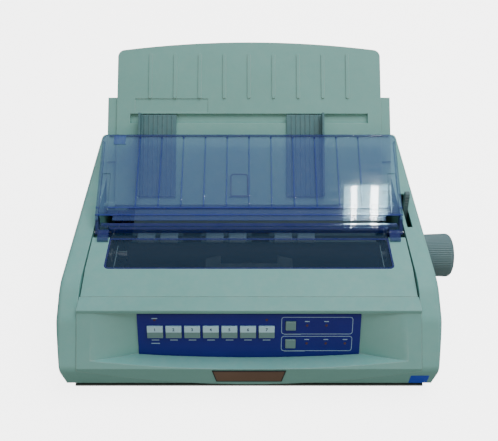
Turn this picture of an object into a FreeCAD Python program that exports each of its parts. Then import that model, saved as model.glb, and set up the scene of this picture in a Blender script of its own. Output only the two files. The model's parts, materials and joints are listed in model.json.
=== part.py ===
import FreeCAD, Part
import math
import os
import Sketcher

# Dot matrix printer with a hinged access cover, a clear exit flap and a folding sheet guide.
# Millimetres. X runs to the right, Y to the back, Z up. Sizes are first worked out from the
# middle of the case, with the table at Z = 0; each finished piece is then moved along X so that
# the row origin lies under the middle of the whole printer, its platen knob included.

doc = FreeCAD.newDocument("dot_matrix_printer")
sheet = doc.addObject("Spreadsheet::Sheet", "sizes")
X_AXIS = FreeCAD.Vector(1, 0, 0)
Y_AXIS = FreeCAD.Vector(0, 1, 0)
ALONG = {"X": FreeCAD.Rotation(Y_AXIS, 90), "Y": FreeCAD.Rotation(X_AXIS, -90), "Z": FreeCAD.Rotation()}


class Size:
    """A length or an angle: its value, and the sheet expression that gives it."""

    def __init__(self, value, text):
        self.value = float(value)
        self.text = text

    def __add__(self, other):
        other = as_size(other)
        return Size(self.value + other.value, f"({self.text} + {other.text})")

    def __radd__(self, other):
        return as_size(other) + self

    def __sub__(self, other):
        other = as_size(other)
        return Size(self.value - other.value, f"({self.text} - {other.text})")

    def __rsub__(self, other):
        return as_size(other) - self

    def __mul__(self, other):
        other = as_size(other)
        return Size(self.value * other.value, f"({self.text} * {other.text})")

    def __rmul__(self, other):
        return as_size(other) * self

    def __truediv__(self, other):
        other = as_size(other)
        return Size(self.value / other.value, f"({self.text} / {other.text})")

    def __neg__(self):
        return 0 - self


def as_size(number):
    """A plain number as a Size."""
    return number if isinstance(number, Size) else Size(number, repr(float(number)))


def sine(angle):
    return Size(math.sin(math.radians(angle.value)), f"sin({angle.text})")


def cosine(angle):
    return Size(math.cos(math.radians(angle.value)), f"cos({angle.text})")


rows = []


def size(name, value):
    """Write one driving size into the sheet and hand it back."""
    rows.append(name)
    cell = f"B{len(rows)}"
    sheet.set(f"A{len(rows)}", name)
    sheet.set(cell, str(value))
    sheet.setAlias(cell, name)
    return Size(value, f"sizes.{name}")


# Sizes: the case
case_width = size("case_width", 398)
case_depth = size("case_depth", 345)
shoulder_height = size("shoulder_height", 116)
foot_height = size("foot_height", 4)
foot_radius = size("foot_radius", 9)
foot_inset = size("foot_inset", 22)
shell_wall = size("shell_wall", 2.5)
floor_wall = size("floor_wall", 2.5)
skirt_gap = size("skirt_gap", 4)
cheek_width = size("cheek_width", 22)
cheek_taper = size("cheek_taper", 8)
cheek_wide_height = size("cheek_wide_height", 72)
cheek_round = size("cheek_round", 6)
chin_round = size("chin_round", 12)
knee_round = size("knee_round", 30)
brow_round = size("brow_round", 45)
shoulder_round = size("shoulder_round", 14)
cheek_chin_height = size("cheek_chin_height", 34)
cheek_knee_back = size("cheek_knee_back", 33)
cheek_knee_height = size("cheek_knee_height", 74)
cheek_brow_back = size("cheek_brow_back", 66)
cheek_brow_height = size("cheek_brow_height", 95)
cheek_saddle_back = size("cheek_saddle_back", 198)
cheek_saddle_height = size("cheek_saddle_height", 104)
chin_tuck = size("chin_tuck", 5)
deck_height = size("deck_height", 80)
deck_front_back = size("deck_front_back", 222)
parting_gap = size("parting_gap", 0.4)
soft_gap = size("soft_gap", 0.3)
run_gap = size("run_gap", 0.05)
overrun = size("overrun", 5)
tray_rim_height = size("tray_rim_height", 29)
tray_inset = size("tray_inset", 8)
post_radius = size("post_radius", 5)
screw_radius = size("screw_radius", 2)
screw_head_radius = size("screw_head_radius", 3.6)
screw_head_height = size("screw_head_height", 2)
screw_length = size("screw_length", 40)
screw_front_back = size("screw_front_back", 62.5)
screw_rear_inset = size("screw_rear_inset", 22)

# Sizes: front bezel and control panel
bezel_top_back = size("bezel_top_back", 54.5)
bezel_top_height = size("bezel_top_height", 85.5)
bezel_brow_back = size("bezel_brow_back", 36.5)
bezel_brow_height = size("bezel_brow_height", 83.5)
bezel_brow_drop = size("bezel_brow_drop", 4)
bezel_lip_height = size("bezel_lip_height", 36)
bezel_seam_height = size("bezel_seam_height", 12)
bezel_seam_radius = size("bezel_seam_radius", 757)
panel_lean_angle = size("panel_lean_angle", 18.4)
panel_back = size("panel_back", 39.5)
panel_height = size("panel_height", 76.5)
panel_width = size("panel_width", 232)
panel_fall = size("panel_fall", 51)
panel_foot_radius = size("panel_foot_radius", 1700)
panel_sheet = size("panel_sheet", 1.4)
scoop_reach = size("scoop_reach", 36)
scoop_brow_reach = size("scoop_brow_reach", 5.5)
scoop_flare = size("scoop_flare", 60)
key_pitch = size("key_pitch", 19.3)
key_width = size("key_width", 16.4)
key_height = size("key_height", 13.6)
key_first = size("key_first", 97.5)
key_drop = size("key_drop", 20.4)
key_stand = size("key_stand", 1.8)
key_depth = size("key_depth", 7)
key_travel = size("key_travel", 1)
key_flange = size("key_flange", 1.2)
mode_key_side = size("mode_key_side", 10.6)
mode_key_centre = size("mode_key_centre", 43.2)
mode_key_drop = size("mode_key_drop", 13.2)
mode_key_pitch = size("mode_key_pitch", 21)
light_radius = size("light_radius", 1.4)
light_stand = size("light_stand", 0.3)
light_pitch = size("light_pitch", 20)
board_sheet = size("board_sheet", 1.6)
board_margin = size("board_margin", 15.5)
plate_width = size("plate_width", 76)
plate_narrow = size("plate_narrow", 68)
plate_height = size("plate_height", 17)
plate_sheet = size("plate_sheet", 1)
plate_base = size("plate_base", 17)
sticker_width = size("sticker_width", 19)
sticker_height = size("sticker_height", 15)
sticker_sheet = size("sticker_sheet", 0.4)

# Sizes: access cover, window and exit flap
hinge_back = size("hinge_back", 147.5)
hinge_height = size("hinge_height", 96)
hinge_pin_radius = size("hinge_pin_radius", 2)
hinge_pin_length = size("hinge_pin_length", 23.5)
cover_wall = size("cover_wall", 3)
cover_side_gap = size("cover_side_gap", 1.5)
cover_knee_back = size("cover_knee_back", 87.5)
cover_knee_height = size("cover_knee_height", 94.6)
cover_rear_back = size("cover_rear_back", 134.5)
cover_rear_height = size("cover_rear_height", 99.4)
window_width = size("window_width", 299)
window_sheet = size("window_sheet", 2)
window_round = size("window_round", 3)
window_sill = size("window_sill", 0.6)
hinge_bar_radius = size("hinge_bar_radius", 2.8)
hinge_bar_rise = size("hinge_bar_rise", 8.5)
hinge_bar_forward = size("hinge_bar_forward", 3)
hinge_block_width = size("hinge_block_width", 12)
hinge_ear_radius = size("hinge_ear_radius", 5)
flap_lean_angle = size("flap_lean_angle", 29.4)
flap_start = size("flap_start", 10.8)
flap_length = size("flap_length", 111.5)
flap_stand = size("flap_stand", 8.5)
flap_sheet = size("flap_sheet", 2)
flap_width = size("flap_width", 350)
flap_rib_width = size("flap_rib_width", 1.6)
flap_rib_height = size("flap_rib_height", 1.4)
flap_rib_pitch = size("flap_rib_pitch", 26)
flap_flange = size("flap_flange", 6)
flap_ear_width = size("flap_ear_width", 3.6)
flap_tab_width = size("flap_tab_width", 14)
flap_round = size("flap_round", 8)
flap_window_width = size("flap_window_width", 13)
flap_window_length = size("flap_window_length", 50)
flap_window_start = size("flap_window_start", 9.5)
flap_notch_width = size("flap_notch_width", 20)
flap_notch_height = size("flap_notch_height", 6.2)

# Sizes: sheet guide and edge guides
guide_lean_angle = size("guide_lean_angle", 46)
guide_back = size("guide_back", 203.5)
guide_base_height = size("guide_base_height", 94)
guide_length = size("guide_length", 203)
guide_width = size("guide_width", 325)
guide_sheet = size("guide_sheet", 4)
guide_round = size("guide_round", 9)
guide_crown = size("guide_crown", 10)
guide_crown_radius = size("guide_crown_radius", 1222)
guide_rib_pitch = size("guide_rib_pitch", 30.4)
guide_rib_width = size("guide_rib_width", 4)
guide_rib_height = size("guide_rib_height", 1.2)
guide_rib_start = size("guide_rib_start", 134)
guide_rib_length = size("guide_rib_length", 53)
label_width = size("label_width", 90)
label_depth = size("label_depth", 0.8)
label_start = size("label_start", 115)
label_height = size("label_height", 17)
slot_start = size("slot_start", 101)
slot_height = size("slot_height", 12)
slot_width = size("slot_width", 292)
frame_width = size("frame_width", 348)
frame_length = size("frame_length", 134)
frame_wall = size("frame_wall", 6)
frame_rail = size("frame_rail", 26)
guide_pivot_drop = size("guide_pivot_drop", 8)
guide_pivot_radius = size("guide_pivot_radius", 4)
guide_hub_radius = size("guide_hub_radius", 6.5)
guide_pin_reach = size("guide_pin_reach", 5.5)
guide_ear_width = size("guide_ear_width", 11.2)
edge_width = size("edge_width", 45)
edge_start = size("edge_start", 9.5)
edge_length = size("edge_length", 101.5)
edge_sheet = size("edge_sheet", 2)
edge_fence_height = size("edge_fence_height", 13.2)
edge_fence_sheet = size("edge_fence_sheet", 2.5)
edge_rib_height = size("edge_rib_height", 0.8)
edge_tongue_width = size("edge_tongue_width", 16)
edge_left_place = size("edge_left_place", 134)
edge_right_place = size("edge_right_place", 91)

# Sizes: platen and gear train
platen_back = size("platen_back", 138.5)
platen_height = size("platen_height", 70)
platen_radius = size("platen_radius", 15)
platen_width = size("platen_width", 288)
platen_shift = size("platen_shift", 6)
shaft_radius = size("shaft_radius", 5)
knob_radius = size("knob_radius", 25)
knob_length = size("knob_length", 31.5)
knob_bore_length = size("knob_bore_length", 20)
knob_round = size("knob_round", 5)
knob_flute_radius = size("knob_flute_radius", 1)
gear_module = size("gear_module", 1)
gear_width = size("gear_width", 5)
gear_backlash = size("gear_backlash", 0.35)
platen_teeth = size("platen_teeth", 40)
idler_teeth = size("idler_teeth", 24)
pinion_teeth = size("pinion_teeth", 12)
idler_direction_angle = size("idler_direction_angle", -80)
pinion_direction_angle = size("pinion_direction_angle", -80)
pressure_angle = size("pressure_angle", 20)

# Sizes: frames, rails, carriage and head
frame_place = size("frame_place", 160)
frame_plate = size("frame_plate", 2)
frame_front = size("frame_front", 62)
frame_rear = size("frame_rear", 198)
frame_top = size("frame_top", 82)
bush_radius = size("bush_radius", 8)
bush_flange_radius = size("bush_flange_radius", 10)
bush_flange = size("bush_flange", 1.5)
rail_radius = size("rail_radius", 4)
front_rail_back = size("front_rail_back", 70)
rear_rail_back = size("rear_rail_back", 104)
rail_height = size("rail_height", 47)
carriage_width = size("carriage_width", 60)
carriage_height = size("carriage_height", 15)
carriage_edge = size("carriage_edge", 7)
head_width = size("head_width", 34)
head_height = size("head_height", 18)
head_length = size("head_length", 42)
head_nose_width = size("head_nose_width", 12)
head_gap = size("head_gap", 0.8)
head_fin_pitch = size("head_fin_pitch", 5)
cartridge_width = size("cartridge_width", 96)
cartridge_height = size("cartridge_height", 9)
cartridge_front = size("cartridge_front", 65)
cartridge_depth = size("cartridge_depth", 44)
cartridge_base = size("cartridge_base", 74.5)
cartridge_arm = size("cartridge_arm", 16)
ribbon_knob_radius = size("ribbon_knob_radius", 7)
ribbon_knob_height = size("ribbon_knob_height", 3.5)
belt_height = size("belt_height", 6)
belt_sheet = size("belt_sheet", 1)
belt_base = size("belt_base", 30)
pulley_radius = size("pulley_radius", 8)
pulley_place = size("pulley_place", 136)
pulley_shaft_radius = size("pulley_shaft_radius", 2.5)
carriage_motor_radius = size("carriage_motor_radius", 17)
feed_motor_radius = size("feed_motor_radius", 12)
feed_motor_length = size("feed_motor_length", 30)
motor_seat = size("motor_seat", 0.3)

# Sizes: paper bail, paper pan and paper lever
bail_radius = size("bail_radius", 2.5)
bail_lean_angle = size("bail_lean_angle", 19.2)
bail_pivot_back = size("bail_pivot_back", 158.5)
bail_pivot_height = size("bail_pivot_height", 46)
bail_pivot_radius = size("bail_pivot_radius", 2.5)
bail_arm_sheet = size("bail_arm_sheet", 2.5)
bail_arm_width = size("bail_arm_width", 7)
roller_radius = size("roller_radius", 6)
roller_width = size("roller_width", 20.5)
roller_round = size("roller_round", 2)
roller_pair_pitch = size("roller_pair_pitch", 26)
roller_left = size("roller_left", 117)
roller_group_pitch = size("roller_group_pitch", 78)
pan_gap = size("pan_gap", 2)
pan_sheet = size("pan_sheet", 1.2)
lever_place = size("lever_place", 184)
lever_thick = size("lever_thick", 5)
lever_width = size("lever_width", 8)
lever_pivot_back = size("lever_pivot_back", 177.5)
lever_pivot_height = size("lever_pivot_height", 60)
lever_length = size("lever_length", 66)
lever_hub_radius = size("lever_hub_radius", 6)
lever_pin_radius = size("lever_pin_radius", 3)
lever_rest_angle = size("lever_rest_angle", 8)
lever_slot_front = size("lever_slot_front", 26)
lever_slot_back = size("lever_slot_back", 34)

# Sizes: electrics
mains_board_width = size("mains_board_width", 190)
mains_board_depth = size("mains_board_depth", 90)
standoff_height = size("standoff_height", 6)
board_corner = size("board_corner", 8)
board_rear_inset = size("board_rear_inset", 23)
board_chip_height = size("board_chip_height", 4)
transformer_width = size("transformer_width", 52)
transformer_depth = size("transformer_depth", 62)
transformer_height = size("transformer_height", 50)
transformer_place = size("transformer_place", 138)
coil_bulge = size("coil_bulge", 8)
inlet_width = size("inlet_width", 27)
inlet_height = size("inlet_height", 20)
inlet_depth = size("inlet_depth", 18)
inlet_place = size("inlet_place", 145)
inlet_base = size("inlet_base", 42)
inlet_well = size("inlet_well", 15)
inlet_wall = size("inlet_wall", 2)
contact_width = size("contact_width", 1.8)
contact_height = size("contact_height", 5)
switch_width = size("switch_width", 13)
switch_height = size("switch_height", 19)
switch_place = size("switch_place", 110)
switch_swing_angle = size("switch_swing_angle", 8)
port_width = size("port_width", 56)
port_height = size("port_height", 16)
port_depth = size("port_depth", 12)
port_place = size("port_place", 60)
port_base = size("port_base", 20)
usb_width = size("usb_width", 12)
usb_height = size("usb_height", 11)
usb_place = size("usb_place", 10)
vent_pitch = size("vent_pitch", 6)
vent_width = size("vent_width", 2.5)
vent_height = size("vent_height", 22)
mains_board_place = size("mains_board_place", 20)

# Places worked out from the sizes
half = case_width / 2
front = -case_depth / 2
back = case_depth / 2
inner = half - cheek_width
knob_end = half + parting_gap + knob_length
shift = (half - knob_end) / 2
skirt = foot_height + skirt_gap
tray_floor = foot_height + floor_wall

parts = {}


def bind(thing, prop, amount):
    """Tie one property of a document object to the sheet."""
    thing.setExpression(prop, as_size(amount).text)


def seat(thing, x=0, y=0, z=0, turn=None, lean=None):
    """Place an object; lean is a turn about X that follows the sheet."""
    rotation = turn or FreeCAD.Rotation()
    if lean is not None:
        axis, lean = (-X_AXIS, -lean) if lean.value < 0 else (X_AXIS, lean)
        rotation = FreeCAD.Rotation(axis, lean.value)
        bind(thing, "Placement.Rotation.Angle", lean)
    thing.Placement = FreeCAD.Placement(FreeCAD.Vector(), rotation)
    for letter, amount in (("x", x), ("y", y), ("z", z)):
        if isinstance(amount, Size):
            bind(thing, f"Placement.Base.{letter}", amount)
    return thing


def box(name, x, y, z):
    """A block between two corners, each span a pair of sizes."""
    block = doc.addObject("Part::Box", name)
    for prop, (low, high) in (("Length", x), ("Width", y), ("Height", z)):
        bind(block, prop, as_size(high) - low)
    return seat(block, as_size(x[0]), as_size(y[0]), as_size(z[0]))


def rod(name, axis, radius, span, place):
    """A round bar along an axis; place holds its two other coordinates in X, Y, Z order."""
    bar = doc.addObject("Part::Cylinder", name)
    bind(bar, "Radius", radius)
    bind(bar, "Height", as_size(span[1]) - span[0])
    spot = [as_size(amount) for amount in place]
    spot.insert("XYZ".index(axis), as_size(span[0]))
    return seat(bar, *spot, turn=ALONG[axis])


def origin_plane(body, role):
    return [part for part in body.Origin.OriginFeatures if part.Role == role][0]


def outline(sketch, points, arcs):
    """Draw a closed outline; arcs maps a side's number to its radius, bulging to its right."""
    vector = FreeCAD.Vector
    ends = []
    for number, point in enumerate(points):
        after = points[(number + 1) % len(points)]
        one = vector(point[0].value, point[1].value, 0)
        two = vector(after[0].value, after[1].value, 0)
        if number in arcs:
            chord = two - one
            radius = arcs[number].value
            rise = radius - math.sqrt(radius ** 2 - (chord.Length / 2) ** 2)
            middle = (one + two) / 2 + vector(chord.y, -chord.x, 0).normalize() * rise
            piece = sketch.addGeometry(Part.Arc(one, middle, two), False)
            flipped = sketch.Geometry[piece].StartPoint.distanceToPoint(one) > rise
            ends.append((piece, 2, 1) if flipped else (piece, 1, 2))
            bind_constraint(sketch, ("Radius", piece), arcs[number])
        else:
            piece = sketch.addGeometry(Part.LineSegment(one, two), False)
            ends.append((piece, 1, 2))
    for number, (piece, start, end) in enumerate(ends):
        follower = ends[(number + 1) % len(ends)]
        sketch.addConstraint(Sketcher.Constraint("Coincident", piece, end, follower[0], follower[1]))
    for (piece, start, end), point in zip(ends, points):
        bind_constraint(sketch, ("DistanceX", -1, 1, piece, start), point[0])
        bind_constraint(sketch, ("DistanceY", -1, 1, piece, start), point[1])


def bind_constraint(sketch, facts, amount):
    number = sketch.addConstraint(Sketcher.Constraint(*facts, amount.value))
    bind(sketch, f"Constraints[{number}]", amount)


def drawn(name, plane, points, offset, arcs):
    """A body with one sketch on an origin plane, moved off it by offset."""
    body = doc.addObject("PartDesign::Body", name)
    sketch = body.newObject("Sketcher::SketchObject", f"{name}_outline")
    sketch.AttachmentSupport = [(origin_plane(body, f"{plane}_Plane"), "")]
    sketch.MapMode = "FlatFace"
    bind(sketch, "AttachmentOffset.Base.z", offset)
    outline(sketch, [(as_size(one), as_size(two)) for one, two in points], arcs or {})
    return body, sketch


def prism(name, plane, points, span, rounds=None, arcs=None):
    """An outline pushed out over a span of the third axis; rounds maps corner numbers to radii."""
    low, high = as_size(span[0]), as_size(span[1])
    body, sketch = drawn(name, plane, points, -high if plane == "XZ" else low, arcs)
    pad = body.newObject("PartDesign::Pad", f"{name}_pad")
    pad.Profile = sketch
    bind(pad, "Length", high - low)
    doc.recompute()
    tip = pad
    for corner, radius in (rounds or {}).items():
        spot = points[corner]
        tip = round_edges(body, tip, corner_edges(tip, plane, spot), radius)
    return body


def corner_edges(feature, plane, spot):
    """The edges that run square to a plane through one of its points."""
    letters = plane[0].lower(), plane[1].lower()
    wanted = as_size(spot[0]).value, as_size(spot[1]).value
    names = []
    for number, edge in enumerate(feature.Shape.Edges, 1):
        on_spot = all(abs(getattr(vertex.Point, letter) - amount) < 1e-4
                      for vertex in edge.Vertexes for letter, amount in zip(letters, wanted))
        if on_spot:
            names.append(f"Edge{number}")
    return names


def round_edges(body, feature, names, radius):
    """Round the named edges of a body's last feature."""
    fillet = body.newObject("PartDesign::Fillet", f"{body.Name}_round")
    fillet.Base = (feature, names)
    fillet.Radius = radius.value
    bind(fillet, "Radius", radius)
    body.Tip = fillet
    doc.recompute()
    return fillet


def turned(name, points, rounds=None):
    """A body turned about the X axis from points of (x, radius)."""
    body, sketch = drawn(name, "XY", points, as_size(0), None)
    spin = body.newObject("PartDesign::Revolution", f"{name}_turn")
    spin.Profile = sketch
    spin.ReferenceAxis = (sketch, ["H_Axis"])
    spin.Angle = 360
    doc.recompute()
    tip = spin
    for corner, radius in (rounds or {}).items():
        spot = FreeCAD.Vector(as_size(points[corner][0]).value, 0, 0)
        reach = as_size(points[corner][1]).value
        names = [f"Edge{number}" for number, edge in enumerate(tip.Shape.Edges, 1)
                 if all(abs(vertex.Point.x - spot.x) < 1e-4
                        and abs(math.hypot(vertex.Point.y, vertex.Point.z) - reach) < 1e-4
                        for vertex in edge.Vertexes)]
        tip = round_edges(body, tip, names, radius)
    return body


def join(name, pieces):
    fuse = doc.addObject("Part::MultiFuse", name)
    fuse.Shapes = pieces
    fuse.Refine = True
    return fuse


def carve(name, base, tools):
    """A base with every tool taken away."""
    cut = doc.addObject("Part::Cut", name)
    cut.Base = base
    cut.Tool = tools[0] if len(tools) == 1 else join(f"{name}_tools", tools)
    cut.Refine = True
    return cut


def overlap(name, pieces):
    common = doc.addObject("Part::MultiCommon", name)
    common.Shapes = pieces
    return common


def keep(label, thing, y=0, z=0, lean=None):
    """Finish a sub-part: its own label and its place in the row frame."""
    if thing.TypeId in ("Part::Box", "Part::Cylinder", "Part::Feature"):
        primitive = thing
        thing = doc.addObject("Part::Refine", f"{label}_whole")
        thing.Source = primitive
    seat(thing, shift, as_size(y), as_size(z), lean=lean)
    thing.Label = label
    parts[label] = thing
    return thing


def both(maker, name):
    """A maker's piece on the left and on the right, as one list."""
    return [maker(f"{name}_left", -1), maker(f"{name}_right", 1)]


def span(side, near, far):
    """A span along X on one side, from the nearer to the farther distance from the middle."""
    return (near, far) if side > 0 else (-far, -near)


# Outer case
platen_y = front + platen_back
hinge_y = front + hinge_back
lever_y = front + lever_pivot_back
board_centre_x = mains_board_place
board_centre_y = back - board_rear_inset - mains_board_depth / 2
belt_y = front + (front_rail_back + rear_rail_back) / 2
deck_front_y = front + deck_front_back
guide_y = front + guide_back
guide_pivot_y = guide_y + sine(guide_lean_angle) * guide_pivot_drop
guide_pivot_z = guide_base_height - cosine(guide_lean_angle) * guide_pivot_drop
bezel_half = inner - parting_gap
rim_top = foot_height + tray_rim_height
screw_x = inner - post_radius - soft_gap * 2
inlet_x = -inlet_place
switch_x = -switch_place


def cheek_outline(wall):
    """The side view of the case, drawn in by a wall."""
    return [
        (front + chin_tuck + wall, skirt - wall),
        (front + wall, cheek_chin_height),
        (front + cheek_knee_back + wall, cheek_knee_height - wall),
        (front + cheek_brow_back + wall, cheek_brow_height - wall),
        (front + cheek_saddle_back, cheek_saddle_height - wall),
        (back - wall, shoulder_height - wall),
        (back - wall, skirt - wall),
    ]


def section_outline(wall):
    """The front view of the case, drawn in by a wall."""
    side = half - wall
    waist = side - cheek_taper
    top = shoulder_height + overrun
    return [(-waist, skirt - overrun), (waist, skirt - overrun), (side, cheek_wide_height),
            (side, top), (-side, top), (-side, cheek_wide_height)]


def case_solid(name, wall, rounded):
    """A solid with the case's form, drawn in by a wall on every side but the open bottom."""
    side = half - wall
    rounds = {1: chin_round, 2: knee_round, 3: brow_round, 5: shoulder_round}
    block = prism(f"{name}_side", "YZ", cheek_outline(wall), (-side, side), rounds)
    if rounded:
        names = [f"Edge{number}" for number, edge in enumerate(block.Tip.Shape.Edges, 1)
                 if edge.BoundBox.XLength < 1e-4
                 and edge.BoundBox.ZMin > (cheek_chin_height + chin_round).value]
        round_edges(block, block.Tip, names, cheek_round)
    slab = prism(f"{name}_front", "XZ", section_outline(wall), (front - overrun, back + overrun))
    return overlap(name, [block, slab])


def arc_slab(name, reach, base, top, y_span, radius):
    """A slab whose lower side is an arc that hangs lowest in the middle."""
    rise = reach * reach / (2 * radius)
    points = [(-reach, base + rise), (reach, base + rise), (reach, top), (-reach, top)]
    return prism(name, "XZ", points, y_span, arcs={0: radius})


def inner_wall(name, side):
    """The wall of a cheek that faces the mechanism."""
    return box(name, span(side, inner, inner + shell_wall), (front, back),
               (rim_top + soft_gap, shoulder_height + overrun))


def screw_spots():
    """The case screws: a name, a side and a place along Y for each."""
    return [(f"{place}_{side_name}", side, y)
            for place, y in (("front", front + screw_front_back), ("rear", back - screw_rear_inset))
            for side_name, side in (("left", -1), ("right", 1))]


boss_share = 0.55


def rear_openings():
    """The holes in the rear wall for the inlet, the switch, the ports and the air."""
    span_y = (back - shell_wall - overrun, back + overrun)
    holes = [
        box("inlet_hole", (inlet_x - inlet_width / 2 - soft_gap, inlet_x + inlet_width / 2 + soft_gap),
            span_y,
            (inlet_base - soft_gap, inlet_base + inlet_height + soft_gap)),
        box("switch_hole", (switch_x - switch_width / 2 + shell_wall / 2,
                            switch_x + switch_width / 2 - shell_wall / 2),
            span_y, (inlet_base, inlet_base + switch_height)),
        box("port_hole", (port_place - port_width / 2 - soft_gap, port_place + port_width / 2 + soft_gap),
            span_y,
            (port_base - soft_gap, port_base + port_height + soft_gap)),
        box("usb_hole", (usb_place - usb_width / 2 - soft_gap, usb_place + usb_width / 2 + soft_gap),
            span_y,
            (port_base - soft_gap, port_base + usb_height + soft_gap)),
    ]
    for number in range(14):
        left = port_place - port_width / 2 + number * vent_pitch
        holes.append(box(f"vent_{number}", (left, left + vent_width), span_y,
                         (inlet_base + vent_width, inlet_base + vent_width + vent_height)))
    return holes


def make_upper_case():
    shell = carve("case_shell", case_solid("case_outer", as_size(0), True),
                  [case_solid("case_inside", shell_wall, False)])
    walls = overlap("cheek_walls", [case_solid("case_core", shell_wall / 2, False),
                                    join("cheek_wall_blocks", both(inner_wall, "cheek_wall"))])
    deck = box("deck", (-inner - shell_wall / 2, inner + shell_wall / 2),
               (deck_front_y, back - shell_wall / 2),
               (deck_height - shell_wall, deck_height))
    top = shoulder_height + overrun
    tools = [
        box("channel", (-inner, inner), (front - overrun, back + overrun), (deck_height, top)),
        arc_slab("case_mouth", inner, bezel_seam_height - parting_gap, top,
                 (front - overrun, deck_front_y), bezel_seam_radius),
        rod("knob_hole", "X", bush_radius, (inner - overrun, half + overrun), (platen_y, platen_height)),
        rod("pin_hole", "X", hinge_pin_radius + run_gap / 2, (-half + shell_wall, half - shell_wall),
            (hinge_y, hinge_height)),
        rod("guide_pivot_hole", "X", guide_pivot_radius + run_gap, (-half + shell_wall, half - shell_wall),
            (guide_pivot_y, guide_pivot_z)),
        rod("lever_pin_hole", "X", lever_pin_radius + soft_gap,
            (inner - overrun, inner + shell_wall + overrun),
            (lever_y, lever_pivot_height)),
        box("lever_slot", (lever_place - lever_thick / 2 - 2 * soft_gap,
                           lever_place + lever_thick / 2 + 2 * soft_gap),
            (lever_y - lever_slot_front, lever_y + lever_slot_back), (cheek_brow_height, top)),
    ]
    case = carve("case_open", join("case_walls", [shell, walls, deck]), tools + rear_openings())
    bosses, boss_holes = [], []
    for name, side, y in screw_spots():
        bosses.append(box(f"boss_{name}", span(side, screw_x - post_radius, inner + shell_wall / 2),
                          (y - post_radius, y + post_radius),
                          (rim_top + 2 * soft_gap, rim_top + screw_length * boss_share)))
        boss_holes.append(rod(f"boss_hole_{name}", "Z", screw_radius + run_gap / 2,
                              (rim_top, rim_top + screw_length),
                              (side * screw_x, y)))
    keep("upper_case", carve("upper_case", join("case_with_bosses", [case] + bosses), boss_holes))


def make_base():
    side = half - cheek_taper - tray_inset
    depth = (front + skirt_gap, back - skirt_gap)
    rim_front = front + chin_tuck + shell_wall * 2
    rim_back = back - shell_wall - skirt_gap
    flange = half - cheek_taper - shell_wall - 2 * soft_gap
    pieces = [box("tray_floor", (-side, side), depth, (foot_height, tray_floor))]
    for name, edge in (("left", -1), ("right", 1)):
        pieces.append(box(f"tray_rim_{name}", span(edge, inner + floor_wall / 2, inner + floor_wall * 1.5),
                          (rim_front, rim_back), (foot_height, rim_top)))
        pieces.append(box(f"tray_flange_{name}", span(edge, side - shell_wall, flange),
                          (rim_front, rim_back), (tray_floor - soft_gap, skirt + shell_wall / 2)))
    for name, low in (("front", rim_front), ("back", rim_back - floor_wall)):
        pieces.append(box(f"tray_rim_{name}", (-inner - floor_wall, inner + floor_wall),
                          (low, low + floor_wall),
                          (foot_height, tray_floor + skirt_gap)))
    holes = []
    for name, side_sign, y in screw_spots():
        x = side_sign * screw_x
        pieces.append(rod(f"screw_post_{name}", "Z", post_radius, (foot_height, rim_top + soft_gap),
                          (x, y)))
        holes.append(rod(f"screw_way_{name}", "Z", screw_radius + soft_gap, (0, rim_top + overrun), (x, y)))
        holes.append(rod(f"screw_sink_{name}", "Z", screw_head_radius + soft_gap,
                         (0, foot_height + screw_head_height + soft_gap), (x, y)))
    for name, x, y in corners(mains_board_width / 2 - board_corner, mains_board_depth / 2 - board_corner):
        pieces.append(rod(f"standoff_{name}", "Z", post_radius * 0.6,
                          (foot_height, tray_floor + standoff_height),
                          (board_centre_x + x, board_centre_y + y)))
    pieces.append(rod("pulley_post", "Z", post_radius, (foot_height, belt_base - motor_seat),
                      (-pulley_place, belt_y)))
    pieces.append(rod("pulley_pin", "Z", pulley_shaft_radius,
                      (foot_height, belt_base + belt_height + belt_sheet),
                      (-pulley_place, belt_y)))
    keep("base_case", carve("base_case", join("tray", pieces), holes))


def corners(x, y):
    """Four places round the middle, with a name for each."""
    return [("front_left", -x, -y), ("front_right", x, -y), ("rear_left", -x, y), ("rear_right", x, y)]


def make_feet():
    reach = half - cheek_taper - tray_inset - foot_inset
    feet = []
    for name, x, y in corners(reach, case_depth / 2 - foot_inset * 1.6):
        foot = rod(f"foot_{name}", "Z", foot_radius, (0, foot_height), (x, y))
        feet.append(foot)
    keep("rubber_feet", join("rubber_feet", feet))


def make_screws():
    screws = []
    base = foot_height + soft_gap
    for name, side, y in screw_spots():
        spot = (side * screw_x, y)
        screws.append(rod(f"screw_shank_{name}", "Z", screw_radius, (base, base + screw_length), spot))
        screws.append(rod(f"screw_head_{name}", "Z", screw_head_radius, (base, base + screw_head_height),
                          spot))
    keep("case_screws", join("case_screws", screws))


# Front bezel and control panel
panel_y = front + panel_back


def panel_piece(label, pieces, holes=()):
    """Keep a piece that is drawn in the panel's own leaning frame."""
    thing = join(f"{label}_body", pieces) if len(pieces) > 1 else pieces[0]
    thing = carve(label, thing, list(holes)) if holes else thing
    keep(label, thing, panel_y, panel_height, -panel_lean_angle)


def panel_spot(fall, inward):
    """Side-view place of a point that lies down the panel's slope and behind its face."""
    return (panel_y - sine(panel_lean_angle) * fall + cosine(panel_lean_angle) * inward,
            panel_height - cosine(panel_lean_angle) * fall - sine(panel_lean_angle) * inward)


def key_boxes():
    """Every button's place on the panel: name, centre along X, drop, width and height."""
    spots = []
    for number in range(7):
        spots.append((f"wide_key_{number + 1}", -key_first + number * key_pitch, key_drop, key_width,
                      key_height))
    for number in range(2):
        spots.append((f"square_key_{number + 1}", mode_key_centre, mode_key_drop + number * mode_key_pitch,
                      mode_key_side, mode_key_side * key_squash_share))
    return spots


key_squash_share = 0.95


def key_block(name, spot, grow, depth):
    """A block over one button, grown all round; its spot's drop is the button's middle."""
    _, centre, drop, width, height = spot
    return box(name, (centre - width / 2 - grow, centre + width / 2 + grow), depth,
               (-drop - height / 2 - grow, -drop + height / 2 + grow))


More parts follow.
